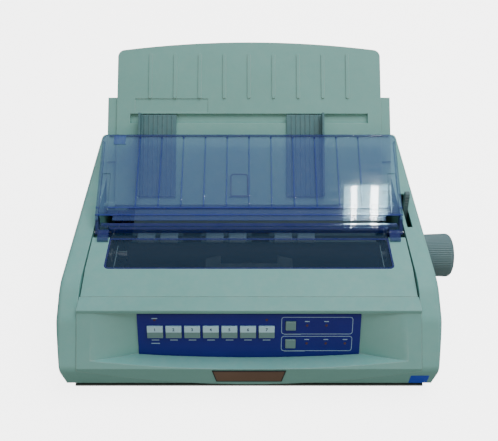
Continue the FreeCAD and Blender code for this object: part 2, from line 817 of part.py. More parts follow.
def light_spots():
    """The panel's signal lights: places along X and down the slope."""
    first = mode_key_centre + mode_key_side * 1.6
    spots = [(first + number * light_pitch, mode_key_drop) for number in range(2)]
    spots += [(first + number * light_pitch, mode_key_drop + mode_key_pitch) for number in range(3)]
    last = -key_first + 6 * key_pitch
    spots += [(-key_first, key_drop - key_height), (last, key_drop - key_height)]
    return spots


def make_scoop(flare):
    """The hollow in front of the panel: its ends open wide and shallow at the brow, deep at the lip."""
    wide = panel_width / 2
    top, foot = bezel_brow_drop / 2, -panel_fall * 1.2
    body, brow_sketch = drawn("scoop", "XY", scoop_outline(wide, flare, scoop_brow_reach), top, None)
    lip_sketch = body.newObject("Sketcher::SketchObject", "scoop_lip_outline")
    lip_sketch.AttachmentSupport = [(origin_plane(body, "XY_Plane"), "")]
    lip_sketch.MapMode = "FlatFace"
    bind(lip_sketch, "AttachmentOffset.Base.z", foot)
    outline(lip_sketch, scoop_outline(wide, flare, scoop_reach), {})
    loft = body.newObject("PartDesign::AdditiveLoft", "scoop_loft")
    loft.Profile = brow_sketch
    loft.Sections = [lip_sketch]
    loft.Ruled = True
    doc.recompute()
    return body


def scoop_outline(wide, flare, reach):
    return [(-wide, as_size(0)), (-flare, -reach), (flare, -reach), (wide, as_size(0))]


def make_bezel():
    lip = (front + parting_gap, bezel_lip_height)
    outer = prism("bezel_outer", "YZ", [
        (front + bezel_top_back, bezel_top_height),
        (front + bezel_brow_back, bezel_brow_height),
        (front + bezel_brow_back - parting_gap, bezel_brow_height - bezel_brow_drop),
        lip, (lip[0], as_size(0)), (front + bezel_top_back, as_size(0)),
    ], (-bezel_half, bezel_half), {1: shell_wall / 2, 3: shell_wall / 2})
    form = overlap("bezel_form", [outer, arc_slab("bezel_front", bezel_half, bezel_seam_height,
                                                  shoulder_height, (front - overrun, 0), bezel_seam_radius)])
    reach = bezel_half - shell_wall
    rear_y = front + bezel_top_back + overrun
    hollow = prism("bezel_hollow", "YZ", [
        (rear_y, bezel_top_height - shell_wall), panel_spot(-bezel_brow_drop, shell_wall),
        panel_spot(panel_fall + shell_wall, shell_wall),
        (panel_spot(panel_fall + shell_wall, shell_wall)[0], -overrun), (rear_y, -overrun),
    ], (-reach, reach))
    shelf_in = panel_spot(panel_fall, 0)
    shelf_y, shelf_z = shelf_in[0] - parting_gap, shelf_in[1] - shell_wall * 1.1
    front_in = front + shell_wall + parting_gap
    toe = prism("bezel_toe", "YZ", [
        (front_in, -overrun), (shelf_y, -overrun), (shelf_y, shelf_z),
        (front_in, shelf_z + (shelf_y - front_in) * sine(panel_lean_angle) / cosine(panel_lean_angle)),
    ], (-reach, reach))
    flare = panel_width / 2 + scoop_flare
    scoop = overlap("scoop_form", [
        make_scoop(flare),
        arc_slab("scoop_front", flare, -panel_fall, panel_fall, (-scoop_reach, overrun), panel_foot_radius),
    ])
    window = box("key_window", (-key_first - key_width, mode_key_centre + key_width * 4),
                 (-overrun, panel_fall / 2),
                 (-panel_fall + key_height / 2, -key_height / 3))
    posts = []
    for name, x, z in corners(panel_width / 2 - post_radius * 1.4, panel_fall / 2 - post_radius):
        posts.append(box(f"board_post_{name}", (x - post_radius / 2, x + post_radius / 2),
                         (shell_wall / 2, key_depth + key_travel + soft_gap),
                         (z - panel_fall / 2 - post_radius / 2, z - panel_fall / 2 + post_radius / 2)))
    leaning_post = seat(join("board_posts", posts), y=panel_y, z=panel_height, lean=-panel_lean_angle)
    leaning_cut = seat(join("panel_cuts", [scoop, window]), y=panel_y, z=panel_height,
                       lean=-panel_lean_angle)
    shell = carve("bezel_shell", form, [hollow, toe, leaning_cut])
    keep("front_bezel", join("front_bezel", [shell, leaning_post]))


def make_panel():
    sheet_plate = arc_slab("panel_plate", panel_width / 2 - soft_gap, -panel_fall + soft_gap, -soft_gap,
                           (-panel_sheet, 0), panel_foot_radius)
    holes = [key_block(f"{spot[0]}_way", spot, soft_gap, (-overrun, overrun)) for spot in key_boxes()]
    for number, (x, drop) in enumerate(light_spots()):
        holes.append(rod(f"light_way_{number}", "Y", light_radius, (-overrun, overrun), (x, -drop)))
    panel_piece("control_panel", [sheet_plate], holes)
    lights = [rod(f"light_{number}", "Y", light_radius * light_share,
                  (-panel_sheet - light_stand, panel_sheet), (x, -drop))
              for number, (x, drop) in enumerate(light_spots())]
    panel_piece("panel_lights", lights)
    face = -panel_sheet - key_stand
    for spot in key_boxes():
        cap = key_block(f"{spot[0]}_cap", spot, as_size(0), (face, key_depth * 0.6))
        flange = key_block(f"{spot[0]}_flange", spot, key_flange * 0.8, (soft_gap, soft_gap + key_flange))
        stem = key_block(f"{spot[0]}_stem", spot, -key_height / 4, (0, key_depth))
        panel_piece(spot[0], [cap, flange, stem])
    board_y = key_depth + key_travel + soft_gap
    last_light = light_spots()[last_light_index][0]
    board = box("board_sheet", (-key_first - board_margin, last_light + board_margin),
                (board_y, board_y + board_sheet), (-panel_fall + post_radius / 2, -post_radius / 2))
    lamp_backs = [rod(f"light_back_{number}", "Y", light_radius * light_share,
                      (panel_sheet + soft_gap, board_y + board_sheet / 2), (x, -drop))
                  for number, (x, drop) in enumerate(light_spots())]
    panel_piece("panel_board", [board] + lamp_backs)


light_share = 0.97
last_light_index = 4


def make_plates():
    wide, narrow = plate_width / 2, plate_narrow / 2
    face = front + parting_gap
    plate = prism("blank_plate", "XZ", [(-narrow, plate_base), (narrow, plate_base),
                                        (wide, plate_base + plate_height),
                                        (-wide, plate_base + plate_height)], (face - plate_sheet, face))
    keep("name_plate", plate)
    slope = chin_tuck / (cheek_chin_height - skirt)
    low, high = skirt + sticker_sheet * 2, skirt + sticker_sheet * 2 + sticker_height
    near, far = front + chin_tuck - slope * (low - skirt), front + chin_tuck - slope * (high - skirt)
    label = prism("blank_label", "YZ", [(near - sticker_sheet, low), (near, low), (far, high),
                                        (far - sticker_sheet, high)],
                  (inner - sticker_width / 2, inner + sticker_width / 2))
    keep("corner_label", label)


# Access cover, window and exit flap
def make_cover():
    side = inner - cover_side_gap
    nose = (front + bezel_top_back + parting_gap, bezel_top_height)
    knee = (front + cover_knee_back, cover_knee_height)
    rear = (front + cover_rear_back, cover_rear_height)
    top = [nose, knee, rear]
    under = [(y, z - cover_wall) for y, z in reversed(top)]
    plate = prism("cover_plate", "YZ", top + under, (-side, side))
    hole = prism("window_hole", "XY",
                 [(-window_width / 2, knee[0]), (window_width / 2, knee[0]),
                  (window_width / 2, rear[0] + overrun), (-window_width / 2, rear[0] + overrun)],
                 (0, shoulder_height), {0: window_round, 1: window_round})
    keep("access_cover", carve("access_cover", plate, [hole]))


def make_window():
    half_width = window_width / 2 - run_gap * 2
    slope = (cover_rear_height - cover_knee_height) / (cover_rear_back - cover_knee_back)
    knee_y = front + cover_knee_back + run_gap * 2
    rear_y = hinge_y - hinge_bar_forward
    rear_z = cover_knee_height + slope * (rear_y - knee_y) - window_sill
    low_z = cover_knee_height - window_sill
    sheet_piece = prism("window_sheet", "YZ",
                        [(knee_y, low_z), (rear_y, rear_z), (rear_y, rear_z - window_sheet),
                                               (knee_y, low_z - window_sheet)], (-half_width, half_width),)
    corner_cut = prism("window_plan", "XY", [(-half_width, knee_y), (half_width, knee_y),
                                             (half_width, rear_y + overrun), (-half_width, rear_y + overrun)],
                       (0, shoulder_height), {0: window_round, 1: window_round})
    bar_z = hinge_height + hinge_bar_rise
    pieces = [overlap("window_body", [sheet_piece, corner_cut])]
    for name, edge in (("left", -1), ("right", 1)):
        pieces.append(prism(f"window_cheek_{name}", "YZ",
                            [(knee_y + window_round, low_z), (rear_y, rear_z),
                             (rear_y, rear_z - window_sheet * 3),
                             (knee_y + window_round, low_z - window_sheet * 3)],
                            span(edge, half_width - window_sheet * 0.8, half_width)))
        ear = hinge_ear_radius
        inner_x = window_width / 2 + cover_wall * 2.6
        pieces.append(prism(f"hinge_block_{name}", "YZ", [
            (hinge_y - ear, hinge_height - ear * 0.8), (hinge_y + ear * 0.4, hinge_height - ear),
            (hinge_y + ear, hinge_height - ear * 0.4), (hinge_y + ear, hinge_height + ear * 0.5),
            (hinge_y + ear * 0.1,
             bar_z + hinge_bar_radius), (hinge_y - ear * 1.6, bar_z + hinge_bar_radius * 0.8),
            (hinge_y - ear * 4,
             cover_rear_height + window_sheet), (hinge_y - ear * 4, cover_rear_height - window_sill),
            (front + cover_rear_back, cover_rear_height + run_gap),
            (front + cover_rear_back + soft_gap, cover_rear_height - cover_wall),
        ], span(edge, inner_x, inner_x + hinge_block_width)))
    bar_reach = window_width / 2 + cover_wall * 2.6 + hinge_block_width / 2
    pieces.append(rod("hinge_bar", "X", hinge_bar_radius, (-bar_reach, bar_reach), (rear_y, bar_z)))
    pieces.append(box("hinge_web", (-half_width, half_width), (rear_y - window_sheet, rear_y),
                      (rear_z - window_sheet, bar_z)))
    hole = rod("window_pin_way", "X", hinge_pin_radius + run_gap, (-half, half), (hinge_y, hinge_height))
    arms = make_cover_arms_space()
    keep("cover_window", carve("cover_window", join("window_moulding", pieces), [hole] + arms))


def make_cover_arms_space():
    """The room that the cover's own arms take under the hinge blocks."""
    rear = (front + cover_rear_back, cover_rear_height)
    knee = (front + cover_knee_back, cover_knee_height)
    return [prism(f"arm_space_{name}", "YZ",
                  [(knee[0], knee[1] + run_gap), (rear[0] + run_gap, rear[1] + run_gap),
                   (rear[0] + run_gap, rear[1] - cover_wall), (knee[0], knee[1] - cover_wall)],
                  span(edge, window_width / 2 - run_gap, inner))
            for name, edge in (("left", -1), ("right", 1))]


def make_hinge_pins():
    far = inner + shell_wall
    pins = [rod(f"hinge_pin_{name}", "X", hinge_pin_radius, span(edge, far - hinge_pin_length, far),
                (hinge_y, hinge_height))
            for name, edge in (("left", -1), ("right", 1))]
    keep("hinge_pins", join("hinge_pins", pins))


def make_flap():
    side = flap_width / 2
    end = flap_start + flap_length
    top = flap_stand + flap_sheet
    plate = prism("flap_plate", "XY", [(-side, flap_start), (side, flap_start), (side, end), (-side, end)],
                  (flap_stand, top), {2: flap_round, 3: flap_round})
    notches = [box(f"flap_notch_{name}", span(edge, side - flap_notch_width, side + overrun),
                   (0, flap_start + flap_notch_height), (0, top + overrun))
               for name, edge in (("left", -1), ("right", 1))]
    pieces = [carve("flap_sheet_body", plate, notches)]
    for number in range(11):
        centre = (number - 5) * flap_rib_pitch
        pieces.append(box(f"flap_rib_{number}", (centre - flap_rib_width / 2, centre + flap_rib_width / 2),
                          (flap_start + flap_length * rib_start_share, end - flap_rib_width * 2),
                          (top - soft_gap, top + flap_rib_height)))
    for number, share in enumerate(cross_rib_shares):
        low = flap_start + flap_length * share
        pieces.append(box(f"flap_cross_rib_{number}", (-side, side), (low, low + flap_rib_width),
                          (top - soft_gap, top + flap_rib_height)))
    pieces.append(rod("flap_lip", "X", flap_sheet, (-side + flap_round, side - flap_round),
                      (end - flap_sheet, flap_stand + flap_sheet / 2)))
    pieces.append(box("flap_tab", (-side + flap_tab_width, -side + 2 * flap_tab_width),
                      (end - flap_tab_width, end - flap_sheet), (top - soft_gap, top + flap_rib_height)))
    ear = hinge_ear_radius
    far = side - soft_gap
    for name, edge in (("left", -1), ("right", 1)):
        pieces.append(box(f"flap_flange_{name}", span(edge, side - flap_sheet, side),
                          (flap_start, end - flap_round),
                          (flap_stand - flap_flange, flap_stand + flap_sheet / 2)))
        pieces.append(prism(f"flap_ear_{name}", "YZ", [
            (-ear * 0.7, -ear * 0.7), (ear * 0.7, -ear * 0.9), (flap_start + ear, flap_stand - flap_flange),
            (flap_start + ear * 1.5, top), (flap_start, top), (flap_start, flap_stand), (ear * 0.3, ear),
            (-ear * 0.7, ear * 0.7)], span(edge, far - flap_ear_width, far)))
    holes = [rod("flap_pin_way", "X", hinge_pin_radius + run_gap, (-half, half), (0, 0))]
    window_low = flap_start + flap_window_start
    for name, edge in (("left", -1), ("right", 1)):
        holes.append(box(f"flap_window_{name}",
                         span(edge, side - flap_window_width, side - flap_ear_width - soft_gap),
                         (window_low, window_low + flap_window_length),
                         (flap_stand - overrun, top + overrun)))
    flap = carve("exit_flap", join("flap_moulding", pieces), holes)
    keep("exit_flap", flap, hinge_y, hinge_height, flap_lean_angle)


rib_start_share = 0.14
cross_rib_shares = (0.05, 0.13)

# Sheet guide


def make_sheet_guide():
    wide = guide_width / 2
    sheet_piece = prism("guide_sheet", "XY", [(-wide, 0), (wide, 0), (wide, guide_length - guide_crown),
                                              (-wide, guide_length - guide_crown)], (-guide_sheet, 0),
                        {2: guide_round, 3: guide_round}, {2: guide_crown_radius})
    pieces = [sheet_piece]
    for number in range(9):
        centre = (number - 4) * guide_rib_pitch
        pieces.append(box(f"guide_rib_{number}",
                          (centre - guide_rib_width / 2, centre + guide_rib_width / 2),
                          (guide_rib_start, guide_rib_start + guide_rib_length),
                          (-guide_rib_height, guide_rib_height)))
        for end_name, end_y in (("foot", guide_rib_start), ("head", guide_rib_start + guide_rib_length)):
            pieces.append(rod(f"guide_rib_{end_name}_{number}", "Z", guide_rib_width / 2,
                              (-guide_rib_height, guide_rib_height), (centre, end_y)))
    pieces.append(box("guide_tab", (-label_height * 1.4, as_size(0)),
                      (edge_start, edge_start + label_height * 1.6),
                      (-guide_rib_height, guide_rib_height)))
    label_left = -wide + label_height * 1.3
    holes = [
        box("guide_slot", (-slot_width / 2, slot_width / 2), (slot_start, slot_start + slot_height),
            (-guide_sheet - overrun, overrun)),
        box("label_recess", (label_left, label_left + label_width),
            (label_start, label_start + label_height),
            (-label_depth, overrun)),
    ]
    keep("sheet_guide_panel", carve("sheet_guide_panel", join("guide_moulding", pieces), holes),
         guide_y, guide_base_height, guide_lean_angle)
    side = frame_width / 2
    back_face = -guide_sheet - frame_wall
    tray = carve("guide_tray", box("guide_tray_block", (-side, side), (-frame_wall / 2, frame_length),
                                   (back_face, -guide_sheet)),
                 [box("guide_tray_well", (-side + frame_wall, side - frame_wall),
                      (frame_wall * 2, frame_length - frame_wall),
                      (back_face - overrun, -guide_sheet - frame_wall / 3))])
    ears = []
    for name, edge in (("left", -1), ("right", 1)):
        ears.append(rod(f"guide_hub_{name}", "X", guide_hub_radius, span(edge, side - frame_rail, side),
                        (0, -guide_pivot_drop)))
        ears.append(rod(f"guide_pin_{name}", "X", guide_pivot_radius,
                        span(edge, side - frame_wall, side + guide_pin_reach),
                        (0, -guide_pivot_drop)))
        ears.append(box(f"guide_ear_{name}", span(edge, side - guide_ear_width, side),
                        (frame_length * ear_start_share, frame_length),
                        (back_face, -guide_sheet + frame_wall / 3)))
    front_cut = box("hub_front_cut", (-wide - soft_gap, wide + soft_gap), (-overrun * 3, guide_length),
                    (-guide_sheet, overrun * 3))
    frame = carve("sheet_guide_frame", join("guide_frame_form", [tray] + ears), [front_cut])
    keep("sheet_guide_frame", frame, guide_y, guide_base_height, guide_lean_angle)


ear_start_share = 0.4


def make_edge_guides():
    for name, low, fence_low in (("left", -edge_left_place, -edge_left_place),
                                 ("right", edge_right_place - edge_width,
                                  edge_right_place - edge_fence_sheet)):
        depth = (edge_start, edge_start + edge_length)
        face = soft_gap + edge_sheet
        pieces = [
            box(f"edge_{name}_plate", (low, low + edge_width), depth, (soft_gap, face)),
            box(f"edge_{name}_fence", (fence_low, fence_low + edge_fence_sheet), depth,
                (soft_gap, edge_fence_height)),
            box(f"edge_{name}_tongue", (low + edge_width / 2 - edge_tongue_width / 2,
                                        low + edge_width / 2 + edge_tongue_width / 2),
                (slot_start + soft_gap * 2, edge_start + edge_length), (-guide_sheet + soft_gap, face)),
        ]
        for number in range(7):
            rib_low = low + edge_width * (number + 1) / 8
            pieces.append(box(f"edge_{name}_rib_{number}", (rib_low, rib_low + edge_rib_height), depth,
                              (soft_gap, face + edge_rib_height)))
        keep(f"edge_guide_{name}", join(f"edge_guide_{name}", pieces), guide_y, guide_base_height,
             guide_lean_angle)


# Platen, knob and gear train
def gear_face(teeth, turn):
    """The face of a spur gear in the YZ plane, its first tooth centred on the turn."""
    module, angle = gear_module.value, math.radians(pressure_angle.value)
    pitch = module * teeth / 2
    base = pitch * math.cos(angle)
    tip, root = pitch + module * gear_addendum_share, pitch - module * gear_dedendum_share
    half_tooth = math.pi / (2 * teeth) - gear_backlash.value / (2 * pitch)
    involute = math.tan(angle) - angle

    def half_width(radius):
        """Half a tooth's angle at a radius."""
        lift = math.acos(min(1, base / radius))
        return half_tooth + involute - (math.tan(lift) - lift)

    points = []
    for number in range(teeth):
        centre = math.radians(turn) + number * 2 * math.pi / teeth
        start = max(base, root)
        radii = [root] + [start + (tip - start) * share for share in flank_shares]
        flank = [(radius, half_width(max(radius, start))) for radius in radii]
        for radius, spread in flank:
            points.append((radius, centre - spread))
        for radius, spread in reversed(flank):
            points.append((radius, centre + spread))
    corners_list = [FreeCAD.Vector(0, radius * math.cos(turned_by), radius * math.sin(turned_by))
                    for radius, turned_by in points]
    return Part.Face(Part.makePolygon(corners_list + corners_list[:1]))


gear_addendum_share = 0.85
gear_dedendum_share = 1.2
flank_shares = (0, 0.35, 0.7, 1)
gear_low = -(frame_place + gear_width + bush_flange * 3)
first_reach = gear_module * (platen_teeth + idler_teeth) / 2
second_reach = gear_module * (idler_teeth + pinion_teeth) / 2
idler_y = platen_y + cosine(idler_direction_angle) * first_reach
idler_z = platen_height + sine(idler_direction_angle) * first_reach
pinion_y = idler_y + cosine(pinion_direction_angle) * second_reach
pinion_z = idler_z + sine(pinion_direction_angle) * second_reach


def gear(name, teeth, turn, hole):
    """A spur gear with a round hole, standing on the X axis."""
    solid = gear_face(int(teeth.value), turn).extrude(FreeCAD.Vector(gear_width.value, 0, 0))
    if hole is not None:
        solid = solid.cut(Part.makeCylinder(hole.value, gear_width.value, FreeCAD.Vector(), X_AXIS))
    blank = doc.addObject("Part::Feature", name)
    blank.Shape = solid
    return seat(blank, gear_low)


def make_gear_train():
    """Platen gear, idler and motor pinion, in mesh at rest."""
    first, second = idler_direction_angle.value, pinion_direction_angle.value
    platen_count, idler_count, pinion_count = platen_teeth.value, idler_teeth.value, pinion_teeth.value
    half_turn, full_turn = 180, 360
    idler_turn = first + half_turn + half_turn / idler_count
    lead = (second - idler_turn) % (full_turn / idler_count)
    pinion_turn = second + half_turn + lead * idler_count / pinion_count + half_turn / pinion_count
    keep("platen_gear", gear("platen_gear", platen_teeth, first, shaft_radius), platen_y, platen_height)
    keep("idler_gear", gear("idler_gear", idler_teeth, idler_turn, hinge_pin_radius * 1.5 + run_gap),
         idler_y, idler_z)
    shaft = rod("pinion_shaft", "X", pulley_shaft_radius,
                (gear_low, -frame_place + frame_plate + feed_motor_length * 0.8), (0, 0))
    keep("feed_pinion", join("feed_pinion", [gear("pinion_teeth_ring", pinion_teeth, pinion_turn, None),
                                             shaft]),
         pinion_y, pinion_z)


def make_platen():
    knob_low = half + parting_gap
    shaft_end = knob_low + knob_bore_length
    keep("platen_shaft", rod("platen_shaft", "X", shaft_radius, (gear_low - shell_wall / 2, shaft_end),
                             (platen_y, platen_height)))
    left = -platen_width / 2 + platen_shift
    roller = turned("platen_rubber", [(left, shaft_radius), (left + platen_width, shaft_radius),
                                      (left + platen_width, platen_radius), (left, platen_radius)])
    keep("platen_rubber", roller, platen_y, platen_height)
    knob = turned("platen_knob",
                  [(knob_low, shaft_radius), (shaft_end, shaft_radius), (shaft_end, 0), (knob_end, 0),
                   (knob_end, knob_radius), (knob_low, knob_radius * knob_waist_share)],
                  {4: knob_round})
    keep("platen_knob", knob, platen_y, platen_height)
    bushes, ways = [], []
    for name, edge in (("left", -1), ("right", 1)):
        bushes.append(rod(f"bush_{name}", "X", bush_radius,
                          span(edge, frame_place - frame_plate, frame_place), (platen_y, platen_height)))
        bushes.append(rod(f"bush_flange_{name}", "X", bush_flange_radius,
                          span(edge, frame_place, frame_place + bush_flange), (platen_y, platen_height)))
    ways.append(rod("bush_way", "X", shaft_radius + run_gap, (-half, half), (platen_y, platen_height)))
    keep("platen_bushes", carve("platen_bushes", join("bush_pair", bushes), ways))


knob_waist_share = 0.94


# Frames, rails, carriage and belt
def make_side_frames():
    bail_y = front + bail_pivot_back
    frame_y, rear = front + frame_front, front + frame_rear
    for name, edge in (("left", -1), ("right", 1)):
        plate = prism(f"frame_plate_{name}", "YZ", [
            (frame_y, tray_floor), (rear, tray_floor), (rear, frame_top / 2),
            (rear - frame_top * 0.3, frame_top), (platen_y - bush_radius * 3,
                                                  frame_top), (frame_y, rail_height + rail_radius * 3),
        ], span(edge, frame_place - frame_plate, frame_place))
        foot = box(f"frame_foot_{name}", span(edge, frame_place - frame_plate - post_radius, frame_place),
                   (frame_y, rear), (tray_floor, tray_floor + frame_plate))
        holes = [rod(f"bush_seat_{name}", "X", bush_radius,
                     span(edge, frame_place - overrun, frame_place + overrun),
                     (platen_y, platen_height))]
        for rail_name, rail_back in (("front", front_rail_back), ("rear", rear_rail_back)):
            holes.append(rod(f"{rail_name}_rail_seat_{name}", "X", rail_radius + run_gap / 5,
                             span(edge, frame_place - overrun, frame_place + overrun),
                             (front + rail_back, rail_height)))
        pieces = [plate, foot, rod(f"bail_pivot_{name}", "X", bail_pivot_radius,
                                   span(edge, bail_arm_place - soft_gap, frame_place - frame_plate / 2),
                                   (bail_y, bail_pivot_height))]
        if edge < 0:
            pieces.append(rod("idler_pin", "X", hinge_pin_radius * 1.5,
                              (gear_low - soft_gap, -frame_place + frame_plate / 2), (idler_y, idler_z)))
            holes.append(rod("pinion_way", "X", pulley_shaft_radius * 2,
                             (-frame_place - overrun, -frame_place + overrun),
                             (pinion_y, pinion_z)))
        else:
            pieces.append(rod("lever_pin", "X", lever_pin_radius,
                              (frame_place - frame_plate / 2, lever_place + lever_thick / 2 + soft_gap),
                              (lever_y, lever_pivot_height)))
        keep(f"side_frame_{name}", carve(f"side_frame_{name}", join(f"frame_form_{name}", pieces), holes))


bail_arm_place = frame_place - frame_plate - bail_arm_sheet * 2


def make_rails():
    for name, rail_back in (("front_rail", front_rail_back), ("rear_rail", rear_rail_back)):
        keep(name, rod(name, "X", rail_radius, (-frame_place - soft_gap, frame_place + soft_gap),
                       (front + rail_back, rail_height)))


def make_carriage():
    low_y, high_y = front + front_rail_back - carriage_edge, front + rear_rail_back + carriage_edge
    low_z = rail_height - carriage_height / 2
    high_z = low_z + carriage_height
    block = box("carriage_block", (-carriage_width / 2, carriage_width / 2), (low_y, high_y),
                (low_z, high_z))
    clip = box("belt_clip", (-head_nose_width / 2, head_nose_width / 2), 
               (belt_y - pulley_radius - belt_sheet * 2, belt_y - pulley_radius + belt_sheet),
               (belt_base + belt_height + soft_gap, high_z))
    ways = [rod(f"rail_way_{number}", "X", rail_radius + run_gap, (-carriage_width, carriage_width),
                (front + rail_back, rail_height))
            for number, rail_back in enumerate((front_rail_back, rear_rail_back))]
    keep("carriage", carve("carriage", join("carriage_form", [block, clip]), ways))
    nose_end = platen_y - platen_radius - head_gap
    head_back = high_y - overrun / 2
    head_front = head_back - head_length
    head = box("head_block", (-head_width / 2, head_width / 2), (head_front, head_back),
               (high_z, high_z + head_height))
    nose = prism("head_nose", "XY", [(-head_width / 4, head_back - overrun),
                                     (head_width / 4, head_back - overrun),
                                     (head_nose_width / 4, nose_end), (-head_nose_width / 4, nose_end)],
                 (platen_height - head_nose_width / 2, platen_height + head_nose_width / 3))
    fins = []
    for number in range(6):
        low = head_front + head_fin_pitch * (number + 0.5)
        for name, edge in (("left", -1), ("right", 1)):
            fins.append(box(f"fin_gap_{name}_{number}",
                            span(edge, head_width / 2 - head_fin_pitch, head_width),
                            (low, low + head_fin_pitch / 2),
                            (high_z + head_fin_pitch, high_z + head_height + overrun)))
    keep("print_head", carve("print_head", join("head_form", [head, nose]), fins))
    cart_y = front + cartridge_front
    cart_top = cartridge_base + cartridge_height
    pieces = [box("cartridge_block", (-cartridge_width / 2, cartridge_width / 2),
                  (cart_y, cart_y + cartridge_depth), (cartridge_base, cart_top))]
    arm_end = platen_y - platen_radius - head_gap * 2
    for name, edge in (("left", -1), ("right", 1)):
        pieces.append(prism(f"cartridge_arm_{name}", "XY", [
            (edge * cartridge_width / 2,
             cart_y + cartridge_depth - overrun), (edge * cartridge_width / 2, arm_end - overrun),
            (edge * (cartridge_width / 2 - cartridge_arm), arm_end),
            (edge * (cartridge_width / 2 - cartridge_arm), cart_y + cartridge_depth - overrun)][::-edge],
            (cartridge_base, cart_top)))
    hole = rod("ribbon_knob_way", "Z", pulley_shaft_radius + run_gap, (cartridge_base, cart_top + overrun),
               (-cartridge_width / 2 + cartridge_arm, cart_y + cartridge_depth / 2))
    keep("ribbon_cartridge", carve("ribbon_cartridge", join("cartridge_form", pieces), [hole]))
    knob_x, knob_y = -cartridge_width / 2 + cartridge_arm, cart_y + cartridge_depth / 2
    keep("ribbon_knob", join("ribbon_knob", [
        rod("ribbon_knob_cap", "Z", ribbon_knob_radius,
            (cart_top + run_gap * 4, cart_top + ribbon_knob_height), (knob_x, knob_y)),
        rod("ribbon_knob_stem", "Z", pulley_shaft_radius,
            (cartridge_base + soft_gap, cart_top + ribbon_knob_height), (knob_x, knob_y)),
    ]))


def belt_loop(name, radius, rise):
    """The room inside a belt that runs round both pulleys at a radius."""
    base, top = belt_base - rise, belt_base + belt_height + rise
    pieces = [box(f"{name}_run", (-pulley_place, pulley_place), (belt_y - radius, belt_y + radius),
                  (base, top))]
    for side_name, edge in (("left", -1), ("right", 1)):
        pieces.append(rod(f"{name}_{side_name}", "Z", radius, (base, top), (edge * pulley_place, belt_y)))
    return join(name, pieces)


def make_belt_drive():
    keep("carriage_belt", carve("carriage_belt",
                                belt_loop("belt_outer", pulley_radius + run_gap + belt_sheet, as_size(0)),
                                [belt_loop("belt_inner", pulley_radius + run_gap, overrun)]))
    keep("idler_pulley", carve("idler_pulley",
                               rod("idler_pulley_rim", "Z", pulley_radius,
                                   (belt_base, belt_base + belt_height), (-pulley_place, belt_y)),
                               [rod("idler_pulley_way", "Z", pulley_shaft_radius + run_gap,
                                    (0, belt_base * 2), (-pulley_place, belt_y))]))
    motor_top = belt_base - motor_seat * 4
    shaft_low = motor_top - carriage_motor_radius
    keep("drive_pulley", join("drive_pulley", [
        rod("drive_pulley_rim", "Z", pulley_radius, (belt_base, belt_base + belt_height),
            (pulley_place, belt_y)),
        rod("drive_pulley_shaft", "Z", pulley_shaft_radius, (shaft_low, belt_base + belt_height),
            (pulley_place, belt_y))]))
    keep("carriage_motor", carve("carriage_motor",
                                 rod("carriage_motor_can", "Z", carriage_motor_radius,
                                     (tray_floor, motor_top), (pulley_place, belt_y)),
                                 [rod("carriage_motor_way", "Z", pulley_shaft_radius + run_gap,
                                      (shaft_low - soft_gap, belt_base),
                                      (pulley_place, belt_y))]))
    motor_low = -frame_place + frame_plate
    keep("feed_motor", carve("feed_motor",
                             rod("feed_motor_can", "X", feed_motor_radius,
                                 (motor_low, motor_low + feed_motor_length), (pinion_y, pinion_z)),
                             [rod("feed_motor_way", "X", pulley_shaft_radius + run_gap,
                                  (-half, motor_low + feed_motor_length * 0.8 + soft_gap),
                                  (pinion_y, pinion_z))]))


# Paper bail, paper pan and paper lever
def make_bail():
    reach = platen_radius + roller_radius + soft_gap
    bail_y, bail_z = platen_y + sine(bail_lean_angle) * reach, platen_height + cosine(bail_lean_angle) * reach
    pivot_y = front + bail_pivot_back
    far = bail_arm_place + bail_arm_sheet
    pieces = [rod("bail_rod", "X", bail_radius, (-far, far), (bail_y, bail_z))]
    holes = []
    for name, edge in (("left", -1), ("right", 1)):
        sheet_span = span(edge, bail_arm_place, far)
        wide = bail_arm_width / 2
        pieces += [
            rod(f"bail_eye_{name}", "X", wide, sheet_span, (bail_y, bail_z)),
            rod(f"bail_foot_{name}", "X", wide + bail_arm_sheet / 2, sheet_span,
                (pivot_y, bail_pivot_height)),
            prism(f"bail_arm_{name}", "YZ", [(pivot_y - wide, bail_pivot_height),
                                             (pivot_y + wide, bail_pivot_height),
                                             (bail_y + wide, bail_z), (bail_y - wide, bail_z)], sheet_span),
        ]
    for number in range(2):
        middle = (-roller_left + roller_pair_pitch + (roller_group_pitch - roller_pair_pitch) / 2
                  + number * roller_group_pitch)
        pieces.append(box(f"bail_bridge_{number}", (middle - roller_width / 2, middle + roller_width / 2),
                          (bail_y - roller_radius * 0.8, bail_y + roller_radius * 0.8),
                          (bail_z - bail_radius, bail_z + roller_radius * 0.7)))
    holes.append(rod("bail_pivot_way", "X", bail_pivot_radius + run_gap, (-half, half),
                     (pivot_y, bail_pivot_height)))
    keep("paper_bail", carve("paper_bail", join("bail_form", pieces), holes))
    rollers = []
    for group in range(3):
        for member in range(2):
            centre = -roller_left + group * roller_group_pitch + member * roller_pair_pitch
            low, high = centre - roller_width / 2, centre + roller_width / 2
            inside = bail_radius + run_gap
            rollers.append(turned(f"bail_roller_{group * 2 + member + 1}",
                                  [(low, inside), (high, inside), (high, roller_radius), (low, roller_radius)],
                                  {2: roller_round, 3: roller_round}))
    keep("bail_rollers", join("bail_rollers", rollers), bail_y, bail_z)


